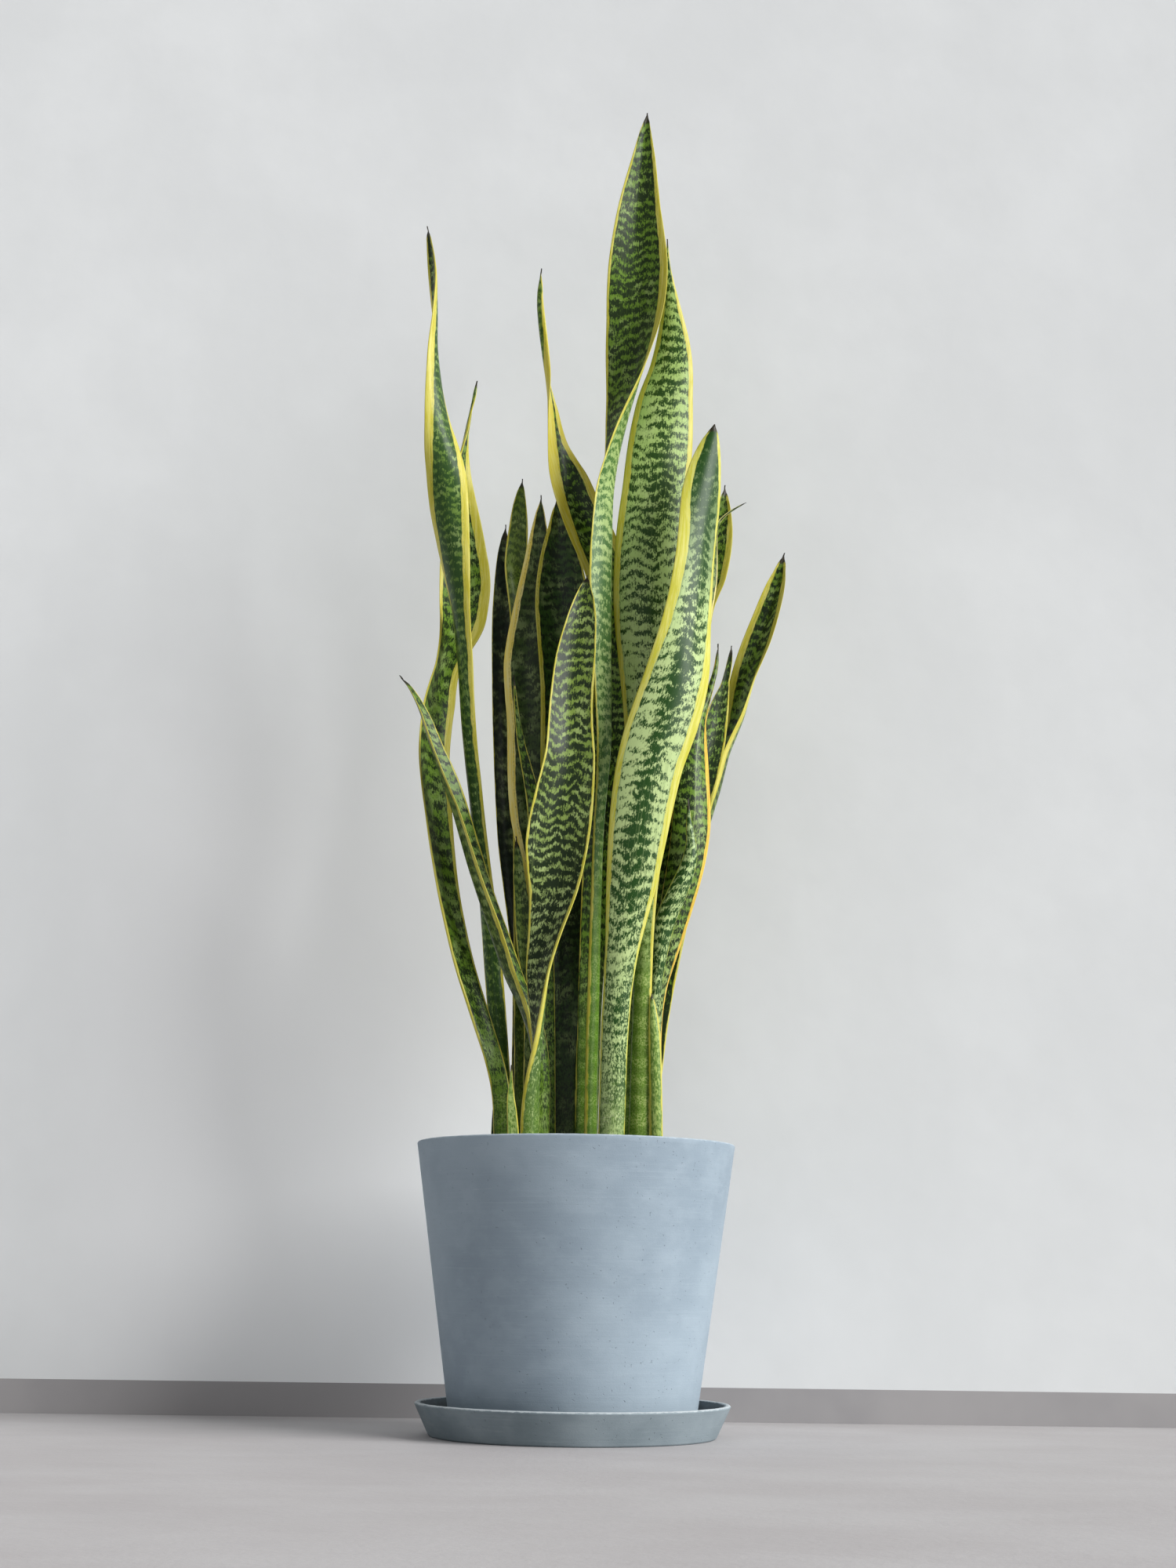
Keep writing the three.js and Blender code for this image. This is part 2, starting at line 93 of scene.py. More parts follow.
class Signal:
    """A shader socket that takes part in Python arithmetic; each operator adds a Math node."""

    def __init__(self, shader: "Shader", socket: bpy.types.NodeSocket) -> None:
        """Keep the socket and the shader that it belongs to."""
        self.shader = shader
        self.socket = socket

    def _math(self, operation: str, *values: "Signal | float") -> "Signal":
        """Add one Math node on these values."""
        return self.shader.node(
            "ShaderNodeMath", {"operation": operation}, {i: v for i, v in enumerate(values)}
        )

    def __add__(self, other: "Signal | float") -> "Signal":
        """self + other."""
        return self._math("ADD", self, other)

    __radd__ = __add__

    def __sub__(self, other: "Signal | float") -> "Signal":
        """self - other."""
        return self._math("SUBTRACT", self, other)

    def __rsub__(self, other: float) -> "Signal":
        """other - self."""
        return self._math("SUBTRACT", other, self)

    def __mul__(self, other: "Signal | float") -> "Signal":
        """self * other."""
        return self._math("MULTIPLY", self, other)

    __rmul__ = __mul__

    def sine(self) -> "Signal":
        """Sine of self, in radians."""
        return self._math("SINE", self)

    def size(self) -> "Signal":
        """Absolute value."""
        return self._math("ABSOLUTE", self)

    def least(self, other: "Signal | float") -> "Signal":
        """The smaller of self and other."""
        return self._math("MINIMUM", self, other)

    def rise(self, low: float, high: float, bottom: float = 0.0, top: float = 1.0) -> "Signal":
        """Smooth step of self from bottom at low to top at high.

        Args:
            low: value of self where the step starts.
            high: value of self where the step ends.
            bottom: result at and before low.
            top: result at and after high.

        Returns:
            The stepped signal, held between bottom and top.
        """
        return self.shader.node(
            "ShaderNodeMapRange",
            {"interpolation_type": "SMOOTHSTEP"},
            {"Value": self, "From Min": low, "From Max": high, "To Min": bottom, "To Max": top},
        )


class Shader:
    """One material: its Principled shader and the nodes that feed it."""

    def __init__(self, name: str) -> None:
        """Make an empty material with a Principled shader.

        Args:
            name: the material's name.
        """
        self.material = bpy.data.materials.new(name)
        self.material.use_nodes = True
        self.tree = self.material.node_tree
        self.tree.nodes.clear()
        self.surface = self.tree.nodes.new("ShaderNodeBsdfPrincipled")
        output = self.tree.nodes.new("ShaderNodeOutputMaterial")
        self.tree.links.new(self.surface.outputs["BSDF"], output.inputs["Surface"])

    def node(
        self,
        kind: str,
        settings: dict[str, object] | None = None,
        inputs: dict[str | int, object] | None = None,
        output: str | int = 0,
    ) -> Signal:
        """Add a node, set it up, then feed its sockets.

        Args:
            kind: the node's type.
            settings: its own properties, which are set before the sockets.
            inputs: a value, a colour or a Signal for each socket's name or number.
            output: name or number of the output to return.

        Returns:
            The chosen output.
        """
        made = self.tree.nodes.new(kind)
        for key, value in (settings or {}).items():
            setattr(made, key, value)
        for key, value in (inputs or {}).items():
            self.feed(made.inputs[key], value)
        return Signal(self, made.outputs[output])

    def feed(self, socket: bpy.types.NodeSocket, value: object) -> None:
        """Link a Signal to a socket, or set the socket's own value."""
        if isinstance(value, Signal):
            self.tree.links.new(value.socket, socket)
        elif socket.type == "RGBA" and isinstance(value, tuple) and len(value) == 3:
            socket.default_value = (*value, 1.0)
        else:
            socket.default_value = value

    def blend(self, factor: Signal | float, first: object, second: object) -> Signal:
        """Mix two colours.

        Args:
            factor: share of the second colour, 0 to 1.
            first: colour or Signal.
            second: colour or Signal.

        Returns:
            The mixed colour.
        """
        made = self.tree.nodes.new("ShaderNodeMix")
        made.data_type = "RGBA"
        made.clamp_factor = True
        colours = [s for s in made.inputs if s.type == "RGBA"]
        self.feed(made.inputs[0], factor)
        self.feed(colours[0], first)
        self.feed(colours[1], second)
        return Signal(self, next(s for s in made.outputs if s.type == "RGBA"))

    def vector(self, x: Signal | float, y: Signal | float, z: Signal | float) -> Signal:
        """Join three numbers into a vector."""
        return self.node("ShaderNodeCombineXYZ", None, {0: x, 1: y, 2: z})

    def parts(self, vector: Signal) -> tuple[Signal, Signal, Signal]:
        """Split a vector into its three numbers."""
        made = self.tree.nodes.new("ShaderNodeSeparateXYZ")
        self.tree.links.new(vector.socket, made.inputs[0])
        return Signal(self, made.outputs[0]), Signal(self, made.outputs[1]), Signal(
            self, made.outputs[2])

    def noise(self, place: Signal, scale: float, detail: float = 2.0, rough: float = 0.5) -> Signal:
        """Smooth random field, about 0.5 on average.

        Args:
            place: vector that it is read at.
            scale: features for each unit of place.
            detail: number of finer layers.
            rough: weight of the finer layers.

        Returns:
            The field.
        """
        return self.node("ShaderNodeTexNoise", {"noise_dimensions": "3D"},
                         {"Vector": place, "Scale": scale, "Detail": detail, "Roughness": rough})

    def stored(self, name: str) -> Signal:
        """Read a vector that the piece's mesh stores at its points."""
        return self.node("ShaderNodeAttribute",
                         {"attribute_type": "GEOMETRY", "attribute_name": name},
                         None, "Vector")

    def place(self) -> Signal:
        """Object coordinates, in metres."""
        return self.node("ShaderNodeTexCoord", None, None, "Object")

    def relief(self, height: Signal, depth: float) -> None:
        """Feed the shader's normal from a height field.

        Args:
            height: field of about 0 to 1.
            depth: what 1 stands for, in metres.
        """
        normal = self.node("ShaderNodeBump", None, {"Strength": 1.0, "Distance": depth,
                                                    "Height": height})
        self.feed(self.surface.inputs["Normal"], normal)

    def finish(self, **sockets: object) -> bpy.types.Material:
        """Set the Principled shader's sockets and return the material.

        Args:
            **sockets: value or Signal for each socket, its name written with underscores.

        Returns:
            The material.
        """
        for key, value in sockets.items():
            self.feed(self.surface.inputs[key.replace("_", " ")], value)
        return self.material


# --------------------------------------------------------------------------- mesh helpers


def make_piece(name: str, points: np.ndarray, faces: list[list[int]],
               material: bpy.types.Material, node: str, slot: str) -> bpy.types.Object:
    """Put points and faces into a smooth-shaded piece that stands for a CAD node.

    Args:
        name: the piece's name.
        points: places of its points, N by 3.
        faces: point numbers of each face.
        material: its finish.
        node: the CAD node that it replaces.
        slot: the record's material slot; not used.

    Returns:
        The piece, riding on the plant's one body.
    """
    mesh = bpy.data.meshes.new(name)
    mesh.from_pydata(points.tolist(), [], faces)
    mesh.polygons.foreach_set("use_smooth", np.ones(len(mesh.polygons), dtype=bool))
    mesh.materials.append(material)
    mesh.update()
    piece = bpy.data.objects.new(name, mesh)
    bpy.context.scene.collection.objects.link(piece)
    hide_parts(node)
    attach(piece, BODY)
    return piece


def store(piece: bpy.types.Object, name: str, vectors: np.ndarray) -> None:
    """Store a vector at each point of a piece.

    Args:
        piece: the piece.
        name: the attribute's name.
        vectors: N by 3 numbers.
    """
    attribute = piece.data.attributes.new(name, "FLOAT_VECTOR", "POINT")
    attribute.data.foreach_set("vector", vectors.astype(np.float32).ravel())


def ring_faces(rings: int, sides: int, closed: bool = False) -> np.ndarray:
    """Quads between rings of points that are numbered ring by ring.

    Args:
        rings: number of rings.
        sides: points in each ring.
        closed: also join the last ring to the first.

    Returns:
        Point numbers, one row of four for each quad.
    """
    count = rings if closed else rings - 1
    ring, side = np.meshgrid(np.arange(count), np.arange(sides), indexing="ij")
    above = (ring + 1) % rings
    beside = (side + 1) % sides
    quads = np.stack([ring * sides + side, ring * sides + beside,
                      above * sides + beside, above * sides + side], axis=-1)
    return quads.reshape(-1, 4)


def fan_faces(ring: int, sides: int, pole: int, upward: bool) -> np.ndarray:
    """Triangles from one ring to a pole point.

    Args:
        ring: number of the ring.
        sides: points in each ring.
        pole: number of the pole point.
        upward: True if the pole closes the last ring, False if it closes the first.

    Returns:
        Point numbers, one row of three for each triangle.
    """
    side = np.arange(sides)
    here = ring * sides + side
    beside = ring * sides + (side + 1) % sides
    order = [here, beside] if upward else [beside, here]
    return np.stack([*order, np.full(sides, pole)], axis=-1)


def waves(first: np.ndarray, second: np.ndarray, seed: int, count: int = 7) -> np.ndarray:
    """Smooth uneven field of about -1 to 1: a mean of sine waves of random heading and phase.

    Args:
        first: first coordinate, where 1 is about one wavelength.
        second: second coordinate, on the same scale.
        seed: starts the random numbers.
        count: number of waves.

    Returns:
        The field, in the shape of the coordinates.
    """
    draw = np.random.default_rng(seed)
    heading = draw.uniform(0, 2 * math.pi, count)
    pace = draw.uniform(0.6, 1.5, count) * 2 * math.pi
    phase = draw.uniform(0, 2 * math.pi, count)
    total = np.zeros(np.broadcast(first, second).shape)
    for angle, speed, start in zip(heading, pace, phase):
        total = total + np.sin(speed * (first * math.cos(angle) + second * math.sin(angle)) + start)
    return total * 1.4 / count


def through(knots: np.ndarray, values: np.ndarray, places: np.ndarray) -> np.ndarray:
    """Smooth cubic through rows of values; slopes are those of the neighbouring knots.

    Args:
        knots: rising place of each row.
        values: one row of numbers for each knot.
        places: where the curve is read.

    Returns:
        One row for each place.
    """
    slopes = np.gradient(values, knots, axis=0)
    span = np.clip(np.searchsorted(knots, places, side="right") - 1, 0, len(knots) - 2)
    gap = (knots[span + 1] - knots[span])[:, None]
    share = ((places - knots[span]) / gap[:, 0])[:, None]
    square, cube = share ** 2, share ** 3
    return ((2 * cube - 3 * square + 1) * values[span] + (cube - 2 * square + share) * gap
            * slopes[span] + (3 * square - 2 * cube) * values[span + 1]
            + (cube - square) * gap * slopes[span + 1])


# --------------------------------------------------------------------------- finishes


@dataclass(frozen=True)
class CompositeFinish:
    """Matte moulded composite: soft clouds, level brush marks, tiny pits, painted shade inside that
    deepens towards the floor.
    """

    name: str
    body: Colour
    cloud: Colour
    pale: Colour
    rim: Colour
    rim_height: float
    # Colour of the painted shade on the inner face.
    inside: Colour = srgb(62, 68, 70)
    roughness: float = 0.72
    cloud_scale: float = 7.0
    patch_scale: float = 34.0
    patch_squeeze: float = 1.6
    grain_scale: float = 900.0
    pit_scale: float = 430.0
    chip_scale: float = 150.0
    brush_scale: tuple[float, float] = (9.0, 420.0)
    scuff_scale: tuple[float, float] = (30.0, 900.0)
    chip_depth: float = 0.003
    rim_band: tuple[float, float] = (0.0014, 0.0006)
    relief_depth: float = 0.00028

    def material(self) -> bpy.types.Material:
        """Build the finish.

        Returns:
            The material.
        """
        shader = Shader(self.name)
        place = shader.place()
        x, y, z = shader.parts(place)
        cloud = shader.noise(place, self.cloud_scale, 3.0, 0.55)
        patch = shader.noise(shader.vector(x, y, z * self.patch_squeeze), self.patch_scale,
                             4.0, 0.6)
        grain = shader.noise(place, self.grain_scale, 2.0, 0.6)
        round_brush, level_brush = self.brush_scale
        brush = shader.noise(shader.vector(x * round_brush, y * round_brush, z * level_brush),
                             1.0, 3.0, 0.65)
        round_scuff, level_scuff = self.scuff_scale
        scuff = shader.noise(shader.vector(x * round_scuff, y * round_scuff, z * level_scuff),
                             1.0, 2.0, 0.7)
        colour = shader.blend(cloud.rise(0.36, 0.64), self.body, self.cloud)
        colour = shader.blend(patch.rise(0.42, 0.70) * 0.26, colour, self.pale)
        colour = shader.blend(patch.rise(0.46, 0.28) * 0.22, colour, self.body)
        colour = shader.blend(brush.rise(0.52, 0.80) * 0.26, colour, self.pale)
        colour = shader.blend(scuff.rise(0.66, 0.80) * 0.35, colour, self.rim)
        pits = shader.noise(place, self.pit_scale, 1.0, 0.5).rise(0.22, 0.28, 1.0, 0.0)
        # The pits are painted darker as well as dented: painted shade in their hollows.
        colour = shader.blend(pits * 0.28, colour, dimmed(self.body, 0.45))
        # Painted shade on the inner face: darker deeper down, a little uneven with the patches.
        within, level, _ = shader.parts(shader.stored("vessel_side"))
        inside_shade = (1.0 - level + (patch - 0.5) * 0.5).rise(0.0, 0.30, 0.45, 0.85)
        colour = shader.blend(within * inside_shade, colour, self.inside)
        # The top of the rim is painted pale with a ragged chipped edge: partly wear, partly a
        # painted highlight where the rim catches the light.
        chips = shader.noise(place, self.chip_scale, 3.0, 0.7)
        band_low, band_high = (self.rim_height - drop for drop in self.rim_band)
        edge = (z + (chips - 0.5) * self.chip_depth).rise(band_low, band_high)
        colour = shader.blend(edge * 0.75, colour, self.rim)
        colour = shader.blend((grain - 0.5).size() * 0.16, colour, dimmed(self.body, 0.7))
        height = grain * 0.35 + brush * 0.45 + patch * 0.7 - pits * 1.2
        shader.relief(height, self.relief_depth)
        return shader.finish(Base_Color=colour, Specular_IOR_Level=0.32,
                             Roughness=(patch - 0.5) * 0.22 + (brush - 0.5) * 0.12
                             + self.roughness)


@dataclass(frozen=True)
class SoilFinish:
    """Damp potting mix: dark crumbs, brown fibres and a few pale grains."""

    name: str = "potting_mix"
    dark: Colour = srgb(38, 28, 22)
    brown: Colour = srgb(84, 62, 46)
    fibre: Colour = srgb(122, 94, 66)
    grain: Colour = srgb(190, 182, 168)
    crumb_scale: float = 260.0
    cell_scale: float = 300.0
    fibre_scale: tuple[float, float, float] = (90.0, 700.0, 200.0)
    grain_scale: float = 520.0
    relief_depth: float = 0.0016

    def material(self) -> bpy.types.Material:
        """Build the finish.

        Returns:
            The material.
        """
        shader = Shader(self.name)
        place = shader.place()
        x, y, z = shader.parts(place)
        crumbs = shader.noise(place, self.crumb_scale, 4.0, 0.65)
        cells = shader.node("ShaderNodeTexVoronoi", {"feature": "F1"},
                            {"Vector": place, "Scale": self.cell_scale}, "Distance")
        wide, long, high = self.fibre_scale
        fibres = shader.noise(shader.vector(x * wide, y * long, z * high), 1.0, 2.0, 0.5)
        grains = shader.noise(place, self.grain_scale, 1.0, 0.5)
        colour = shader.blend(crumbs.rise(0.36, 0.66), self.dark, self.brown)
        colour = shader.blend(fibres.rise(0.66, 0.74) * 0.7, colour, self.fibre)
        colour = shader.blend(grains.rise(0.73, 0.77), colour, self.grain)
        shader.relief(crumbs * 1.0 - cells * 0.8, self.relief_depth)
        return shader.finish(Base_Color=colour, Roughness=crumbs * 0.2 + 0.78,
                             Specular_IOR_Level=0.25)


@dataclass(frozen=True)
class LeafLook:
    """The tones and margins of one leaf; widths in millimetres against height above the floor."""

    inner: tuple[Colour, Colour]
    outer: tuple[Colour, Colour]
    margin: Colour = srgb(194, 184, 56)
    margin_pale: Colour = srgb(218, 210, 112)
    stalk: Colour = srgb(88, 128, 28)
    stalk_pale: Colour = srgb(184, 204, 118)
    plus: Steps = ((0, 3), (2000, 3))
    minus: Steps = ((0, 3), (2000, 3))
    bloom: Steps = ((0, 0), (2000, 0))
    shade: Steps = ((0, 0), (2000, 0))
    bloom_tone: Colour = srgb(190, 208, 142)
    spacing: float = 10.0
    contrast: float = 1.0
    banding: float = 0.15
    core: float = 0.0
    share: float = 0.5
    stalk_top: float = 430.0
    speckle: float = 0.5
    midrib: float = 0.0
    spike: float = 12.0
    spike_tone: Colour = srgb(44, 40, 26)
    fold: float = 1.7
    gloss: float = 0.40


@dataclass(frozen=True)
class Grain:
    """A noise on a leaf's skin: features a metre across and along, finer layers, their weight."""

    wide: float
    long: float
    detail: float = 2.0
    rough: float = 0.55


class LeafSkin:
    """The skin of one leaf, worked out in layers: blade, stalk, margins and spike."""

    SWAY = Grain(54.0, 11.0)
    WANDER = Grain(130.0, 105.0, 3.0)
    DASHES = Grain(950.0, 190.0, 2.0, 0.6)
    FLECK = Grain(620.0, 380.0, 2.0, 0.6)
    BROAD = Grain(26.0, 9.0)
    PATCHES = Grain(60.0, 45.0)
    STREAKS = Grain(520.0, 7.0, 3.0, 0.6)
    ZONES = Grain(34.0, 30.0)
    SPECKLES = Grain(640.0, 560.0, 3.0, 0.7)
    RAGGED = Grain(160.0, 60.0, 3.0, 0.6)
    RIM_STREAKS = Grain(480.0, 26.0, 4.0, 0.7)

    SIDE_SHIFT = 0.006
    LEAF_SHIFT = 0.37
    BAND_SWAY = 0.034
    CALM_FOOT = (0.28, 0.56)
    CORE_EDGE = (0.004, 0.018)
    CORE_SWAY = 0.008
    CORE_RISE = (0.44, 0.58)
    CORE_LEVEL = 0.4
    BELT_SPACING = 0.019
    BELT_SWAY = 0.018
    RIB_SWAY = 0.004
    RIB_EDGE = (0.0003, 0.0010)
    STALK_FADE = (-130.0, 40.0)
    STALK_RAGGED = 0.12
    MARGIN_RAGGED = 0.0030
    MARGIN_EDGE = (-0.0004, 0.0005)
    LINE_DEPTH = 0.0016
    LINE_EDGE = (0.0002, 0.0009)
    SEAM_DEPTH = 0.0009
    SEAM_EDGE = (0.0, 0.0011)
    SPIKE_RAGGED = 0.006
    SPIKE_FADE = (-3.0, 2.0)
    RELIEF = 0.00022

    def __init__(self, look: LeafLook, name: str, seed: int) -> None:
        """Read the leaf's stored places and lay out the noises that several layers share.

        Args:
            look: the leaf's tones and margins.
            name: the material's name.
            seed: shifts the pattern, so that no two leaves match.
        """
        self.look = look
        self.shader = Shader(name)
        parts, stored = self.shader.parts, self.shader.stored
        self.across, self.along, side = parts(stored("leaf_place"))
        self.plus, self.minus, self.tip = parts(stored("leaf_margin"))
        self.bloom, self.shade, _ = parts(stored("leaf_tone"))
        self.height = parts(self.shader.place())[2]
        self.layer = side * self.SIDE_SHIFT + seed * self.LEAF_SHIFT
        self.sway = self.read(self.SWAY)
        self.wander = self.read(self.WANDER)
        self.dashes = self.read(self.DASHES)
        self.fleck = self.read(self.FLECK)
        self.broad = self.read(self.BROAD)
        self.streaks = self.read(self.STREAKS)
        pace = 2 * math.pi / (look.spacing * MM)
        self.bands = ((self.along + (self.sway - 0.5) * self.BAND_SWAY) * pace).sine()
        inner_side = side.rise(-0.15, 0.15)
        self.dark = self.shader.blend(inner_side, look.outer[0], look.inner[0])
        self.light = self.shader.blend(inner_side, look.outer[1], look.inner[1])

    def read(self, grain: Grain) -> Signal:
        """Noise of this grain, on the leaf's own length and breadth."""
        spot = self.shader.vector(self.across * grain.wide, self.along * grain.long,
                                  self.layer * grain.wide)
        return self.shader.noise(spot, 1.0, grain.detail, grain.rough)

    def pattern(self) -> Signal:
        """Share of dark tone: wavy cross bands, broken by wandering, dashes, flecks and patches.

        Returns:
            The share, 0 to 1.
        """
        calm = self.height.rise(*self.CALM_FOOT, 0.3, 1.0)
        pattern = ((self.bands * self.look.banding + (self.wander - 0.5) * 0.95) * calm
                   + (self.dashes - 0.5) * 0.95 + (self.fleck - 0.5) * 1.0
                   + (self.broad - 0.5) * 0.6)
        middle = self.across.size() + (self.sway - 0.5) * self.CORE_SWAY
        core = middle.rise(*self.CORE_EDGE, 1.0, 0.0)
        pattern = pattern + ((core - self.CORE_LEVEL) * self.look.core
                             * self.height.rise(*self.CORE_RISE))
        level = 0.5 - self.look.share
        return pattern.rise(level - 0.18, level + 0.15)

    def blade(self) -> Signal:
        """Colour of the blade: its pattern, pale bloom, fine streaks, shade and midrib.

        Returns:
            The colour.
        """
        look, blend = self.look, self.shader.blend
        pale_zone = self.read(self.PATCHES).rise(0.45, 0.68)
        self.light = blend(pale_zone * 0.30 + self.bloom, self.light, look.bloom_tone)
        middle = blend(0.5, self.dark, self.light)
        self.dark = blend(1.0 - look.contrast, self.dark, middle)
        colour = blend(self.pattern(), self.light, self.dark)
        colour = blend(self.streaks.rise(0.55, 0.78) * 0.30, colour, self.light)
        colour = blend(self.streaks.rise(0.46, 0.24) * 0.30, colour, self.dark)
        colour = blend(self.shade, colour, self.dark)
        rib = (self.across + (self.broad - 0.5) * self.RIB_SWAY).size()
        return blend(rib.rise(*self.RIB_EDGE, 1.0, 0.0) * look.midrib, colour, look.bloom_tone)

    def stalk(self) -> Signal:
        """Colour of the stalk: streaked green with belts of pale speckles.

        Returns:
            The colour.
        """
        look, blend = self.look, self.shader.blend
        pace = 2 * math.pi / self.BELT_SPACING
        belts = ((self.along + (self.sway - 0.5) * self.BELT_SWAY) * pace).sine()
        zones = belts * 0.16 + self.read(self.ZONES)
        speckles = self.read(self.SPECKLES).rise(0.45, 0.57)
        colour = blend(self.streaks.rise(0.35, 0.7) * 0.6, look.stalk, dimmed(look.stalk, 0.55))
        colour = blend(zones.rise(0.52, 0.34) * 0.35, colour, dimmed(look.stalk, 0.40))
        speckled = zones.rise(0.44, 0.60, 0.35, 1.0) * speckles * look.speckle
        return blend(speckled, colour, look.stalk_pale)

    def margins(self, colour: Signal) -> tuple[Signal, Signal]:
        """Lay the ragged yellow margins, with a fine green line in them and a dark seam inside.

        Args:
            colour: the colour of the leaf so far.

        Returns:
            The new colour, and the mask of the margins.
        """
        look, blend = self.look, self.shader.blend
        ragged = (self.read(self.RAGGED) - 0.5) * self.MARGIN_RAGGED
        depth = self.plus.least(self.minus) + ragged
        yellow = depth.rise(*self.MARGIN_EDGE, 1.0, 0.0)
        line = (depth + self.LINE_DEPTH).size().rise(*self.LINE_EDGE, 1.0, 0.0)
        streaks = self.read(self.RIM_STREAKS).rise(0.38, 0.64)
        margin = blend(streaks * 0.8, look.margin, look.margin_pale)
        margin = blend(line * self.fleck.rise(0.40, 0.62) * 0.35, margin, self.light)
        colour = blend(yellow, colour, margin)
        seam = (depth - self.SEAM_DEPTH).size().rise(*self.SEAM_EDGE, 1.0, 0.0)
        return blend(seam * 0.35, colour, self.dark), yellow

    def dress(self) -> bpy.types.Material:
        """Join the layers from the foot to the spike, with the relief and the waxy gloss.

        Returns:
            The material.
        """
        look, blend = self.look, self.shader.blend
        fade_low, fade_high = ((look.stalk_top + step) * MM for step in self.STALK_FADE)
        low = (self.height + (self.wander - 0.5) * self.STALK_RAGGED).rise(
            fade_low, fade_high, 1.0, 0.0)
        colour, yellow = self.margins(blend(low, self.blade(), self.stalk()))
        spike_low, spike_high = ((look.spike + step) * MM for step in self.SPIKE_FADE)
        spike = (self.tip + (self.fleck - 0.5) * self.SPIKE_RAGGED).rise(
            spike_low, spike_high, 1.0, 0.0)
        colour = blend(spike, colour, look.spike_tone)
        self.shader.relief(self.dashes * 0.30 + self.streaks * 0.55 + self.bands * 0.05
                           + yellow * 0.15, self.RELIEF)
        roughness = ((self.wander - 0.5) * 0.16 + (self.streaks - 0.5) * 0.14 + yellow * 0.05
                     + look.gloss)
        return self.shader.finish(Base_Color=colour, Roughness=roughness,
                                  Specular_IOR_Level=0.20, Coat_Weight=0.09,
                                  Coat_Roughness=0.24)


# --------------------------------------------------------------------------- leaves


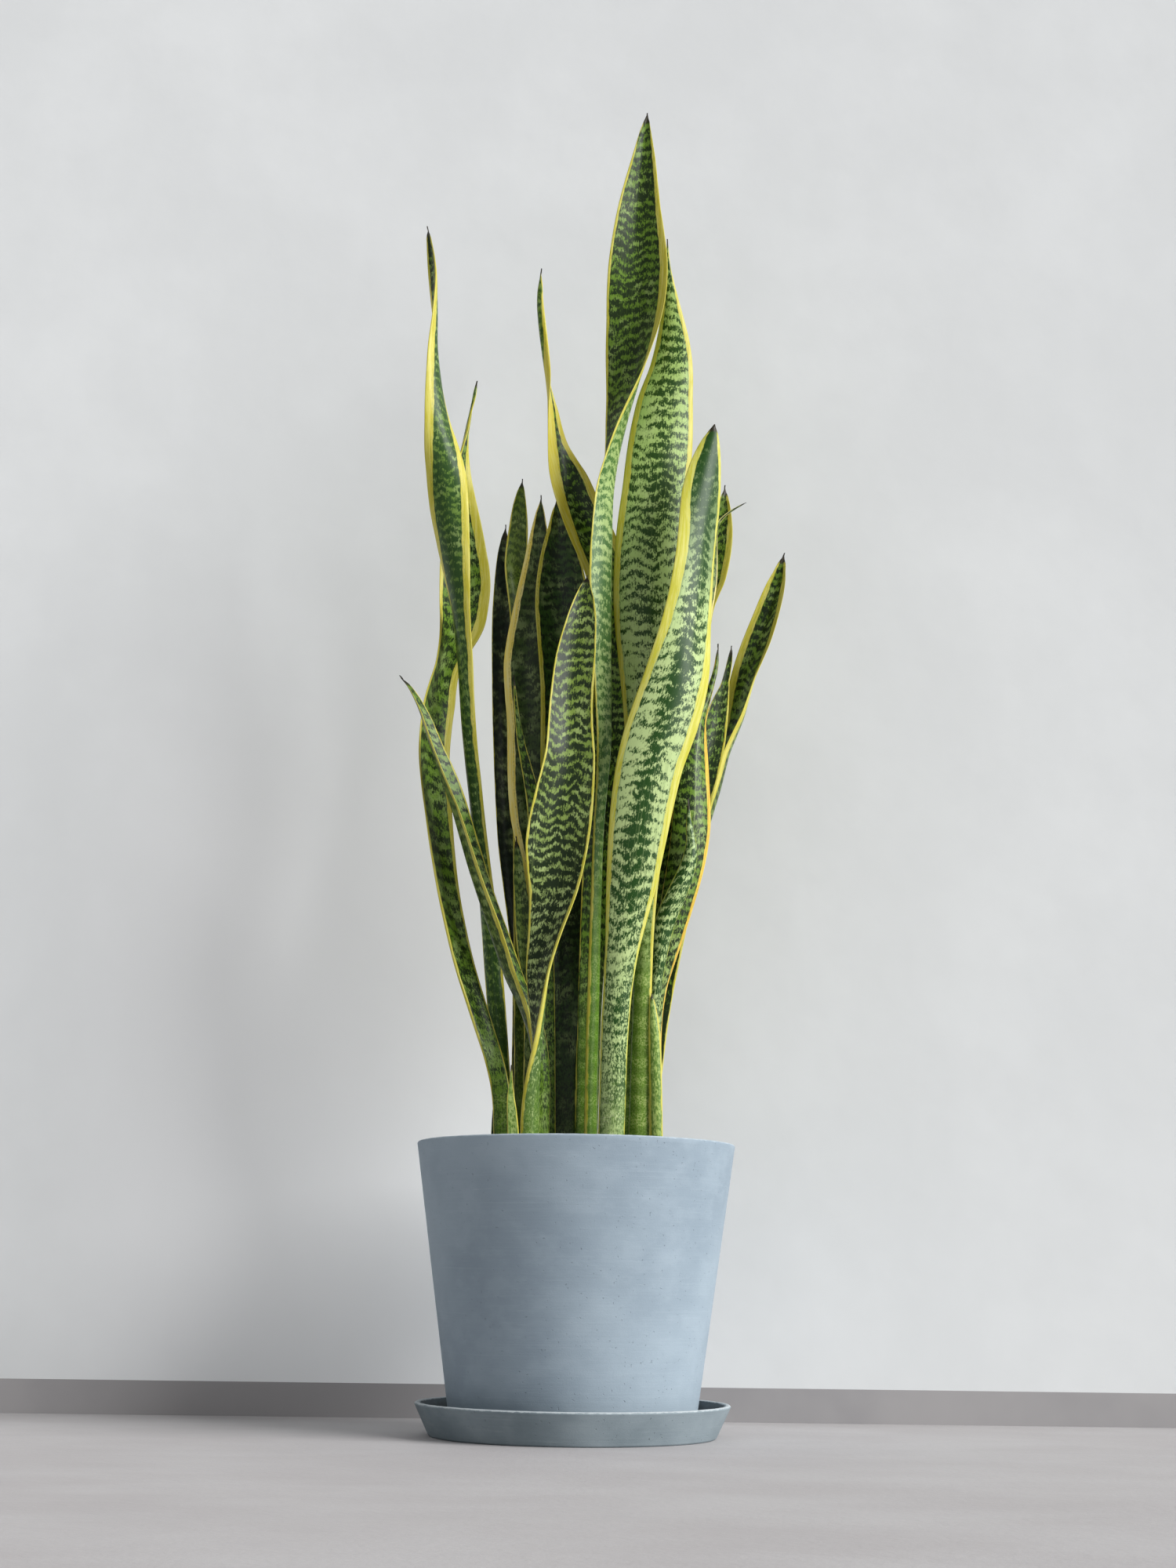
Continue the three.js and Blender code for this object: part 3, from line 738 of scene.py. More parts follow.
@dataclass
class Leaf:
    """One leaf, grown again as a fine closed surface from the rings of its CAD solid."""

    node: str
    slot: str
    look: LeafLook
    seed: int
    steps: int = 220
    sides: int = 40
    rib_depth: float = 0.00012
    rib_spacing: float = 0.0011
    rib_wander: tuple[float, float] = (1.7, 0.09)
    ripple: float = 0.0005
    ripple_length: float = 0.085
    least_half: float = 0.0004
    least_thick: float = 0.0005
    broad_half: float = 0.02
    taper_half: float = 0.012
    roundness: float = 0.8

    CORNERS: ClassVar[int] = 8
    LEVEL_GAP: ClassVar[float] = 1e-5
    FLAT_CUP: ClassVar[float] = 2e-5
    SHALLOW_CUP: ClassVar[float] = 4e-4
    POLE_DEPTH: ClassVar[float] = 0.01
    LEAST_TAPER: ClassVar[float] = 0.15

    def rings(self) -> np.ndarray:
        """Read the CAD solid's level rings.

        The eight corners of a ring lie at shares 1, .707, 0, -.707 and -1 of its half width. The
        widest pair are the margins, and the hollow face is on the side that the margins stand
        proud of the middle.

        Returns:
            One row for each ring: centre x, y, z, heading, half width, cup depth, thickness.
        """
        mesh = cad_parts[self.node].data
        points = np.zeros(len(mesh.vertices) * 3)
        mesh.vertices.foreach_get("co", points)
        points = np.unique(points.reshape(-1, 3).round(7), axis=0)
        points = points[np.argsort(points[:, 2], kind="stable")]
        groups = np.split(points, np.flatnonzero(np.diff(points[:, 2]) > self.LEVEL_GAP) + 1)
        rows: list[list[float]] = []
        last = None
        for group in groups:
            if len(group) != self.CORNERS:
                continue
            flat = group[:, :2]
            gaps = np.linalg.norm(flat[:, None] - flat[None, :], axis=-1)
            one, two = np.unravel_index(np.argmax(gaps), gaps.shape)
            centre = (flat[one] + flat[two]) / 2
            across = (flat[one] - flat[two]) / gaps[one, two]
            ranked = flat[np.argsort((flat - centre) @ across)]
            outward = np.array([across[1], -across[0]])
            middle = ranked[3:5]
            cup = float((centre - middle.mean(axis=0)) @ outward)
            if cup < 0 and abs(cup) > self.FLAT_CUP or (
                    abs(cup) <= self.FLAT_CUP and last is not None and across @ last < 0):
                across, outward, cup = -across, -outward, -cup
            if last is not None and across @ last < 0 and abs(cup) < self.SHALLOW_CUP:
                across, outward, cup = -across, -outward, -cup
            thick = float(abs((middle[1] - middle[0]) @ outward))
            rows.append([*centre, float(group[:, 2].mean()),
                         math.atan2(across[1], across[0]), float(gaps[one, two]) / 2, cup, thick])
            last = across
        table = np.array(rows)
        table[:, 3] = np.unwrap(table[:, 3])
        return table

    def build(self) -> bpy.types.Object:
        """Grow the surface and dress it.

        A point at share s across and angle a round the section lies at the centre, plus s half
        widths across, minus (1 - |s| ** fold) cup depths, plus or minus half the thickness times
        the rounded sine of a. Shallow ribs run the length of the leaf.

        Returns:
            The piece.
        """
        table = self.rings()
        lengths = np.concatenate([[0], np.cumsum(np.linalg.norm(np.diff(table[:, :3], axis=0),
                                                                axis=1))])
        along = np.linspace(0, lengths[-1], self.steps)
        curve = through(lengths, table, along)
        centre = curve[:, :3]
        heading = curve[:, 3]
        half = np.maximum(curve[:, 4], self.least_half)
        cup = curve[:, 5]
        thick = np.maximum(curve[:, 6], self.least_thick)

        angle = np.linspace(0, 2 * math.pi, self.sides, endpoint=False)
        share = np.cos(angle)[None, :]
        sine = np.sin(angle)[None, :]
        bulge = np.sign(sine) * np.abs(sine) ** self.roundness
        across = half[:, None] * share
        broad = np.clip(half[:, None] / self.broad_half, 0, 1)
        wander, wander_length = self.rib_wander
        ribs = self.rib_depth * broad * np.sin(
            across / self.rib_spacing
            + wander * np.sin(along[:, None] / wander_length + self.seed))
        ribs = ribs * np.abs(sine)
        ripple_place = np.broadcast_to(along[:, None] / self.ripple_length, across.shape)
        roll = self.ripple * broad * share ** 2 * waves(ripple_place, share * 0.6, self.seed)
        sag = -cup[:, None] * (1 - np.abs(share) ** self.look.fold)
        lift = sag + bulge * thick[:, None] / 2 + ribs * np.sign(sine) + roll
        crosswise = np.stack([np.cos(heading), np.sin(heading)], axis=-1)
        outward = np.stack([np.sin(heading), -np.cos(heading)], axis=-1)
        flat = (centre[:, None, :2] + across[..., None] * crosswise[:, None]
                + lift[..., None] * outward[:, None])
        height = np.broadcast_to(centre[:, None, 2:3], (*across.shape, 1))
        points = np.concatenate([flat, height], axis=-1).reshape(-1, 3)
        poles = np.array([[*centre[0]], [*centre[-1]]])
        poles[0, :2] -= outward[0] * cup[0]
        points = np.concatenate([points, poles])
        first, last = len(points) - 2, len(points) - 1
        faces = (ring_faces(self.steps, self.sides).tolist()
                 + fan_faces(0, self.sides, first, False).tolist()
                 + fan_faces(self.steps - 1, self.sides, last, True).tolist())

        name = self.node.replace("leaf_", "blade_")
        material = LeafSkin(self.look, name + "_skin", self.seed).dress()
        if not self._outward(points, faces):
            faces = [face[::-1] for face in faces]
        piece = make_piece(name, points, faces, material, self.node, self.slot)
        for attribute, vectors in self.marks(centre, along, across, sine).items():
            store(piece, attribute, vectors)
        return piece

    def marks(self, centre: np.ndarray, along: np.ndarray, across: np.ndarray,
              sine: np.ndarray) -> dict[str, np.ndarray]:
        """Work out what the skin reads at each point: its place, its margins and its tone.

        A point's margin depths are its distance from each edge less that margin's width there,
        which narrows with the blade. Bloom and shade follow the height.

        Args:
            centre: middle of each ring.
            along: distance of each ring from the foot.
            across: signed distance of each point from the middle of its ring.
            sine: rise of each point round the section, -1 to 1.

        Returns:
            The vectors of each attribute, ring by ring, then those of the two poles.
        """
        half = across.max(axis=1)
        tip_gap = along[-1] - along
        level = centre[:, 2] / MM
        wide_plus = np.interp(level, *zip(*self.look.plus)) * MM
        wide_minus = np.interp(level, *zip(*self.look.minus)) * MM
        taper = np.clip(half / self.taper_half, self.LEAST_TAPER, 1)
        plus = (half[:, None] - across) - (wide_plus * taper)[:, None]
        minus = (half[:, None] + across) - (wide_minus * taper)[:, None]
        place = np.stack([across, np.broadcast_to(along[:, None], across.shape),
                          np.broadcast_to(sine, across.shape)], axis=-1).reshape(-1, 3)
        edges = np.stack([plus, minus, np.broadcast_to(tip_gap[:, None], across.shape)],
                         axis=-1).reshape(-1, 3)
        place = np.concatenate([place, [[0, along[0], 0], [0, along[-1], 0]]])
        edges = np.concatenate([edges, [[self.POLE_DEPTH, self.POLE_DEPTH, tip_gap[0]],
                                        [self.POLE_DEPTH, self.POLE_DEPTH, 0]]])

        tone = np.stack([np.interp(level, *zip(*self.look.bloom)),
                         np.interp(level, *zip(*self.look.shade)), 0 * level], axis=-1)
        tone = np.broadcast_to(tone[:, None], (self.steps, self.sides, 3)).reshape(-1, 3)
        tone = np.concatenate([tone, tone[:1], tone[-1:]])
        return {"leaf_place": place, "leaf_margin": edges, "leaf_tone": tone}

    @staticmethod
    def _outward(points: np.ndarray, faces: list[list[int]]) -> bool:
        """True if the closed surface's faces point outwards, from the sign of its volume."""
        quads = np.array([face for face in faces if len(face) == 4])
        a, b, c, d = (points[quads[:, i]] - points.mean(axis=0) for i in range(4))
        volume = np.sum(np.cross(a, b) * c) + np.sum(np.cross(a, c) * d)
        return volume > 0


# tones shared by several leaves
DEEP = (srgb(25, 43, 10), srgb(104, 138, 42))
DEEP_BACK = (srgb(52, 80, 26), srgb(116, 146, 48))
OLIVE = (srgb(24, 40, 10), srgb(112, 136, 52))
BRIGHT = (srgb(38, 68, 16), srgb(160, 190, 104))
MINT = (srgb(34, 70, 20), srgb(176, 202, 134))
SHADE = (srgb(22, 36, 14), srgb(60, 82, 34))
BLACKISH = (srgb(12, 18, 13), srgb(30, 42, 30))
GREYED = (srgb(50, 70, 30), srgb(112, 134, 64))
CREAM = (srgb(92, 126, 48), srgb(168, 190, 104))
GOLD = srgb(206, 166, 56)
CREAM_EDGE = srgb(238, 222, 150)


class Slot(Enum):
    """The record's material slots, one named for each kind of leaf."""

    GREEN = "green_leaf"
    DARK = "dark_leaf"
    PALE = "pale_leaf"
    YOUNG = "young_shoot"


def leaf_family() -> list[Leaf]:
    """List every leaf with its look, from the tallest at the back to the shoots at the rim.

    Returns:
        The leaves.
    """
    def leaf(node: str, slot: Slot, seed: int, **look: object) -> Leaf:
        """One row of the list."""
        return Leaf(node, slot.value, LeafLook(**look), seed)

    return [
        leaf("leaf_tall_centre", Slot.GREEN, 1, inner=DEEP, outer=(srgb(62, 102, 42),
             srgb(158, 182, 112)), plus=((400, 0.6), (950, 1.2), (1000, 3), (1060, 10),
                                         (1150, 10), (1250, 5), (1354, 1.5)),
             minus=((400, 0.8), (900, 2.5), (1250, 2.6), (1354, 1.2)), fold=1.25, spacing=11,
             spike=12, share=0.56, stalk=srgb(92, 136, 24), stalk_top=560, speckle=0.4,
             contrast=0.95),
        leaf("leaf_tall_right", Slot.GREEN, 2, inner=BRIGHT, outer=BRIGHT,
             plus=((430, 0.5), (600, 3.5), (900, 6.5), (1100, 5), (1211, 2)),
             minus=((430, 0.8), (600, 3.5), (900, 6), (1100, 4), (1211, 2)), spacing=12,
             bloom=((300, 0.25), (560, 0.6), (760, 0.55), (900, 0.2), (1211, 0.05)), core=0.15,
             share=0.46,
             stalk=srgb(112, 152, 50), stalk_top=500, speckle=0.9, spike=9),
        leaf("leaf_front_broad", Slot.PALE, 3, inner=MINT, outer=MINT,
             plus=((300, 1.2), (440, 1.8), (520, 4.5), (700, 6), (850, 11), (985, 4)),
             minus=((300, 0.6), (420, 1), (520, 5), (700, 11), (780, 8), (850, 5), (985, 3)),
             margin=srgb(196, 192, 62), margin_pale=srgb(220, 216, 120), share=0.50,
             bloom=((230, 0.5), (420, 0.5), (520, 0.65), (740, 0.5), (830, 0.1), (985, 0)),
             shade=((780, 0), (860, 0.6), (985, 0.85)), core=0.35,
             spacing=12, stalk=srgb(138, 174, 84), stalk_pale=srgb(216, 230, 170),
             stalk_top=320, speckle=1.0, spike=10),
        leaf("leaf_front_dark", Slot.GREEN, 4, inner=OLIVE, outer=(srgb(70, 98, 44),
             srgb(140, 164, 88)),
             plus=((300, 0.8), (370, 1.4), (480, 3.2), (560, 2.2), (700, 1.8), (814, 1.2)),
             minus=((300, 0.8), (380, 1.4), (500, 2.4), (560, 2.2), (700, 1.8), (814, 1.2)),
             bloom=((300, 0.6), (440, 0.55), (560, 0.15), (640, 0.05), (814, 0)),
             spacing=10.5, share=0.61, stalk_top=330, banding=0.2, spike=9),
        leaf("leaf_left_tall", Slot.GREEN, 5, inner=DEEP, outer=(srgb(46, 76, 30),
             srgb(106, 136, 58)),
             plus=((400, 1.5), (600, 2), (850, 6), (1000, 8), (1209, 4)),
             minus=((400, 1.5), (600, 2), (850, 6), (1000, 7), (1209, 4)),
             spacing=9.5, share=0.60, stalk_top=360, spike=12),
        leaf("leaf_left_bowed", Slot.GREEN, 6, inner=DEEP, outer=DEEP_BACK,
             plus=((300, 1), (500, 3), (780, 10), (900, 9), (1049, 3)),
             minus=((300, 1), (500, 3), (780, 4), (900, 4), (1049, 2)), spacing=14,
             stalk_top=320, speckle=0.8, spike=8),
        leaf("leaf_left_arching", Slot.GREEN, 7, inner=DEEP, outer=GREYED,
             plus=((300, 1), (450, 2), (717, 1.5)), minus=((300, 1), (450, 2.5), (717, 1.5)),
             fold=1.1, spacing=11, stalk_top=300, spike=14),
        leaf("leaf_back_left_upper", Slot.DARK, 8, inner=(srgb(52, 74, 22), srgb(100, 124, 40)),
             outer=DEEP,
             plus=((300, 0.5), (700, 1.5), (954, 1.5)), minus=((300, 0.5), (700, 2), (954, 1.5)),
             contrast=0.8, spike=10, stalk_top=300),
        # This leaf's margin colours are raised to the brightest yellow and near white: painted
        # light and a painted highlight for sun that the leaves to its right keep off.
        leaf("leaf_back_left_strip", Slot.DARK, 9, inner=SHADE, outer=SHADE,
             plus=((300, 0.5), (600, 2), (932, 1.5)),
             minus=((300, 3), (480, 7), (640, 8), (780, 7), (932, 3)), margin=srgb(255, 228, 104),
             margin_pale=srgb(255, 246, 176), contrast=0.7, spike=9, stalk_top=300),
        leaf("leaf_back_shadow", Slot.DARK, 10, inner=BLACKISH, outer=BLACKISH,
             plus=((300, 0.3), (909, 0.6)), minus=((300, 0.3), (909, 0.6)), contrast=0.6,
             spike=18, stalk_top=260, stalk=srgb(50, 70, 44)),
        leaf("leaf_back_wide", Slot.DARK, 11, inner=(srgb(14, 27, 10), srgb(46, 74, 24)),
             outer=SHADE, plus=((300, 1), (600, 3), (926, 2)), minus=((300, 2), (600, 5), (926, 3)),
             contrast=0.85, spike=9, stalk_top=300, stalk=srgb(56, 86, 28), speckle=0.35),
        leaf("leaf_twisted_yellow", Slot.GREEN, 12, inner=DEEP, outer=DEEP_BACK,
             plus=((400, 0.2), (640, 2), (900, 8), (1060, 5), (1172, 2)),
             minus=((400, 0.2), (640, 2), (870, 10), (960, 15), (1050, 14), (1090, 5), (1172, 1.5)),
             margin=srgb(206, 190, 52), share=0.56, stalk_top=420, spike=8),
        leaf("leaf_right_behind", Slot.GREEN, 13, inner=DEEP, outer=DEEP,
             plus=((300, 1), (600, 4), (850, 6), (1100, 3)), minus=((300, 1), (600, 2), (1100, 2)),
             stalk_top=360),
        leaf("leaf_hooked_tip", Slot.GREEN, 14, inner=GREYED, outer=GREYED,
             plus=((300, 1), (700, 2), (1200, 2)), minus=((300, 1), (700, 2), (1200, 2)),
             margin=CREAM_EDGE, stalk_top=360, spike=6),
        leaf("leaf_right_outer", Slot.GREEN, 15, inner=DEEP, outer=GREYED,
             plus=((300, 1), (500, 5), (700, 7), (1000, 3)),
             minus=((300, 1), (500, 5), (700, 7), (1000, 3)), stalk_top=340),
        leaf("leaf_right_mid", Slot.GREEN, 16, inner=DEEP, outer=DEEP, share=0.68,
             plus=((300, 1), (520, 2.5), (765, 1.5)), minus=((300, 0.5), (765, 0.8)),
             stalk_top=320),
        leaf("leaf_right_gold_edge", Slot.GREEN, 17, inner=DEEP, outer=DEEP,
             plus=((400, 0.3), (762, 0.5)),
             minus=((380, 1), (450, 2), (560, 4), (640, 6), (690, 4), (762, 1)),
             bloom=((330, 0.5), (420, 0.35), (480, 0.05), (620, 0)), midrib=0.3,
             margin=GOLD, margin_pale=srgb(236, 206, 90), stalk_top=320),
        leaf("leaf_right_low", Slot.PALE, 18, inner=MINT, outer=MINT,
             plus=((250, 0.3), (450, 1), (600, 0.8)), minus=((250, 0.2), (600, 0.3)),
             bloom=((300, 0.4), (480, 0.5), (560, 0.2), (600, 0)), share=0.55,
             margin=srgb(176, 196, 60), stalk_top=300, stalk=srgb(110, 146, 64)),
        leaf("leaf_inner_small", Slot.GREEN, 19, inner=DEEP, outer=SHADE,
             plus=((250, 1), (700, 1.5)), minus=((250, 1), (700, 1.5)), stalk_top=280),
        leaf("leaf_grey_small", Slot.GREEN, 20, inner=GREYED, outer=GREYED,
             plus=((250, 1), (700, 1.5)), minus=((250, 1), (700, 1.5)), stalk_top=280),
        leaf("shoot_left", Slot.YOUNG, 21, inner=CREAM, outer=CREAM,
             plus=((200, 2), (400, 3)), minus=((200, 2), (400, 3)), stalk_top=240, spike=6),
        leaf("spike_left", Slot.YOUNG, 22, inner=DEEP, outer=DEEP,
             plus=((200, 0.5), (400, 0.5)), minus=((200, 0.5), (400, 0.5)), stalk_top=230),
        leaf("shoot_right", Slot.YOUNG, 23, inner=CREAM, outer=CREAM,
             plus=((200, 2), (400, 3)), minus=((200, 2), (400, 3)), stalk_top=240, spike=6),
    ]


# --------------------------------------------------------------------------- pot, saucer, soil


@dataclass
class TurnedVessel:
    """A thin conical vessel turned round the upright axis: the pot or its saucer."""

    node: str
    slot: str
    name: str
    top_radius: float
    foot_radius: float
    height: float
    wall: float
    floor: float
    base: float
    hole: float
    finish: CompositeFinish
    seed: int
    chamfer: float = 0.0015
    rim_round: float = 0.0019
    sides: int = 288
    unevenness: float = 0.00022
    wear: float = 0.00025
    cove: float = 0.004
    least_edge: float = 0.002

    def profile(self) -> np.ndarray:
        """Trace the section, from the underside out, up the wall, over the rim and in again.

        Returns:
            Radius and height of each profile point.
        """
        slope = (self.top_radius - self.foot_radius) / self.height
        low_outer = np.array([self.foot_radius, 0.0])
        crest = self.height - self.rim_round
        quarter = np.linspace(0, math.pi / 2, 8)
        corner_shape = self.rim_round * np.stack([np.cos(quarter), np.sin(quarter)], axis=-1)
        outer_corner = [self.top_radius - self.rim_round, crest] + corner_shape
        inner_corner = ([self.top_radius - self.wall + self.rim_round, crest]
                        + corner_shape[::-1] * [-1, 1])
        rim = np.concatenate([outer_corner, inner_corner])
        rise = np.linspace(0, 1, 90)[1:-1, None]
        start = low_outer + [slope * self.chamfer, self.chamfer]
        outer = start + (rim[0] - start) * rise
        inner_foot = np.array([self.foot_radius + slope * self.floor - self.wall, self.floor])
        inner_low = inner_foot + [slope * self.cove, self.cove]
        inner = rim[-1] + (inner_low - rim[-1]) * np.linspace(0, 1, 60)[1:, None]
        turn = np.linspace(0, math.pi / 2, 6)[1:, None]
        corner = inner_low - self.cove * np.concatenate([1 - np.cos(turn), np.sin(turn)], axis=-1)
        edge = max(self.hole, self.least_edge)
        inward = np.linspace(1, 0, 24)[1:, None]
        bed = np.concatenate([edge + (corner[-1, 0] - edge) * inward,
                              np.full_like(inward, self.floor)], axis=-1)
        under = np.concatenate([edge + (self.foot_radius - self.chamfer - edge) * inward[::-1],
                                np.zeros_like(inward)], axis=-1)
        under = np.concatenate([[[edge, 0.0]], under])
        foot = np.array([[self.foot_radius - self.chamfer * 0.3, self.chamfer * 0.3]])
        last = np.array([[self.foot_radius - self.chamfer, 0.0]])
        return np.concatenate([under[:-1], last, foot, start[None], outer, rim, inner[:-1],
                               corner, bed])

    def build(self) -> bpy.types.Object:
        """Turn the profile and dress it.

        A point at angle a has the profile's radius round the axis; the walls swell and dip by a
        fifth of a millimetre, as moulded composite does, and the rim is a little worn.

        Returns:
            The piece.
        """
        section = self.profile()
        angle = np.linspace(0, 2 * math.pi, self.sides, endpoint=False)[None, :]
        radius = section[:, :1]
        level = section[:, 1:]
        rough = waves(np.cos(angle) * 3.1, level / 0.05 + np.sin(angle) * 3.1, self.seed, 9)
        fine = waves(np.cos(angle) * 21, level / 0.009 + np.sin(angle) * 21, self.seed + 1, 11)
        upper = np.clip((level - self.floor) / (self.height - self.floor), 0, 1)
        shift = (-np.abs(rough) * self.unevenness - np.abs(fine) * self.unevenness * 0.35) * upper
        worn = -np.clip((level - self.height + self.wall / 2) / (self.wall / 2), 0, 1) * (
            self.wear * np.abs(waves(np.cos(angle) * 9, np.sin(angle) * 9, self.seed + 2, 9)))
        inside = np.where(np.arange(len(section))[:, None] > np.argmax(section[:, 1]), -1.0, 1.0)
        turned = radius + shift * inside
        points = np.stack([turned * np.cos(angle), turned * np.sin(angle),
                           self.base + level + worn + 0 * angle], axis=-1).reshape(-1, 3)
        rings = len(section)
        if self.hole > 0:
            faces = ring_faces(rings, self.sides, closed=True).tolist()
        else:
            poles = np.array([[0, 0, self.base], [0, 0, self.base + self.floor]])
            points = np.concatenate([points, poles])
            faces = (ring_faces(rings, self.sides).tolist()
                     + fan_faces(0, self.sides, len(points) - 2, False).tolist()
                     + fan_faces(rings - 1, self.sides, len(points) - 1, True).tolist())
        piece = make_piece(self.name, points, faces, self.finish.material(), self.node,
                           self.slot)
        # Mark the inner face and its height share, which the finish darkens as painted shade.
        within = np.repeat(np.clip(-inside[:, 0], 0, 1), self.sides)
        depth = np.repeat(upper[:, 0], self.sides)
        mask = np.stack([within, depth, 0 * depth], axis=-1)
        if self.hole == 0:
            mask = np.concatenate([mask, [[0, 0, 0], [1, 0, 0]]])
        store(piece, "vessel_side", mask)
        return piece


@dataclass
class SoilBed:
    """The crumbly potting mix that fills the pot, highest in the middle."""

    radius: float
    foot_radius: float
    edge_height: float
    crown: float
    bottom: float
    settle: float = 0.0035
    clod: tuple[float, float] = (0.0016, 0.03)
    crumb: tuple[float, float] = (0.0014, 0.008)
    grain: tuple[float, float] = (0.0007, 0.0035)
    rings: int = 150
    sides: int = 320
    seed: int = 31

    def build(self) -> bpy.types.Object:
        """Raise the bed and dress it.

        The top stands at the edge height, plus the crown times one minus the squared share of
        the radius, plus clods and crumbs from three scales of waves.

        Returns:
            The piece.
        """
        share = np.linspace(0, 1, self.rings + 1)[1:, None]
        angle = np.linspace(0, 2 * math.pi, self.sides, endpoint=False)[None, :]
        x = share * self.radius * np.cos(angle)
        y = share * self.radius * np.sin(angle)
        top = self.edge_height + self.crown * (1 - share ** 2) - self.settle
        scales = (self.clod, self.crumb, self.grain)
        for step, ((height, length), count) in enumerate(zip(scales, (9, 13, 15))):
            top = top + height * waves(x / length, y / length, self.seed + step, count)
        low = np.full((1, self.sides), self.bottom)
        level = np.concatenate([top, low])
        x = np.concatenate([x, self.foot_radius * np.cos(angle)])
        y = np.concatenate([y, self.foot_radius * np.sin(angle)])
        points = np.stack([x, y, level], axis=-1).reshape(-1, 3)
        peak = self.edge_height + self.crown - self.settle
        poles = np.array([[0, 0, peak], [0, 0, self.bottom]])
        points = np.concatenate([points, poles])
        faces = [f[::-1] for f in ring_faces(self.rings + 1, self.sides).tolist()]
        faces += fan_faces(0, self.sides, len(points) - 2, True).tolist()
        faces += fan_faces(self.rings, self.sides, len(points) - 1, False).tolist()
        return make_piece("soil_bed", points, faces, SoilFinish().material(), "soil",
                          "potting_soil")


# --------------------------------------------------------------------------- studio


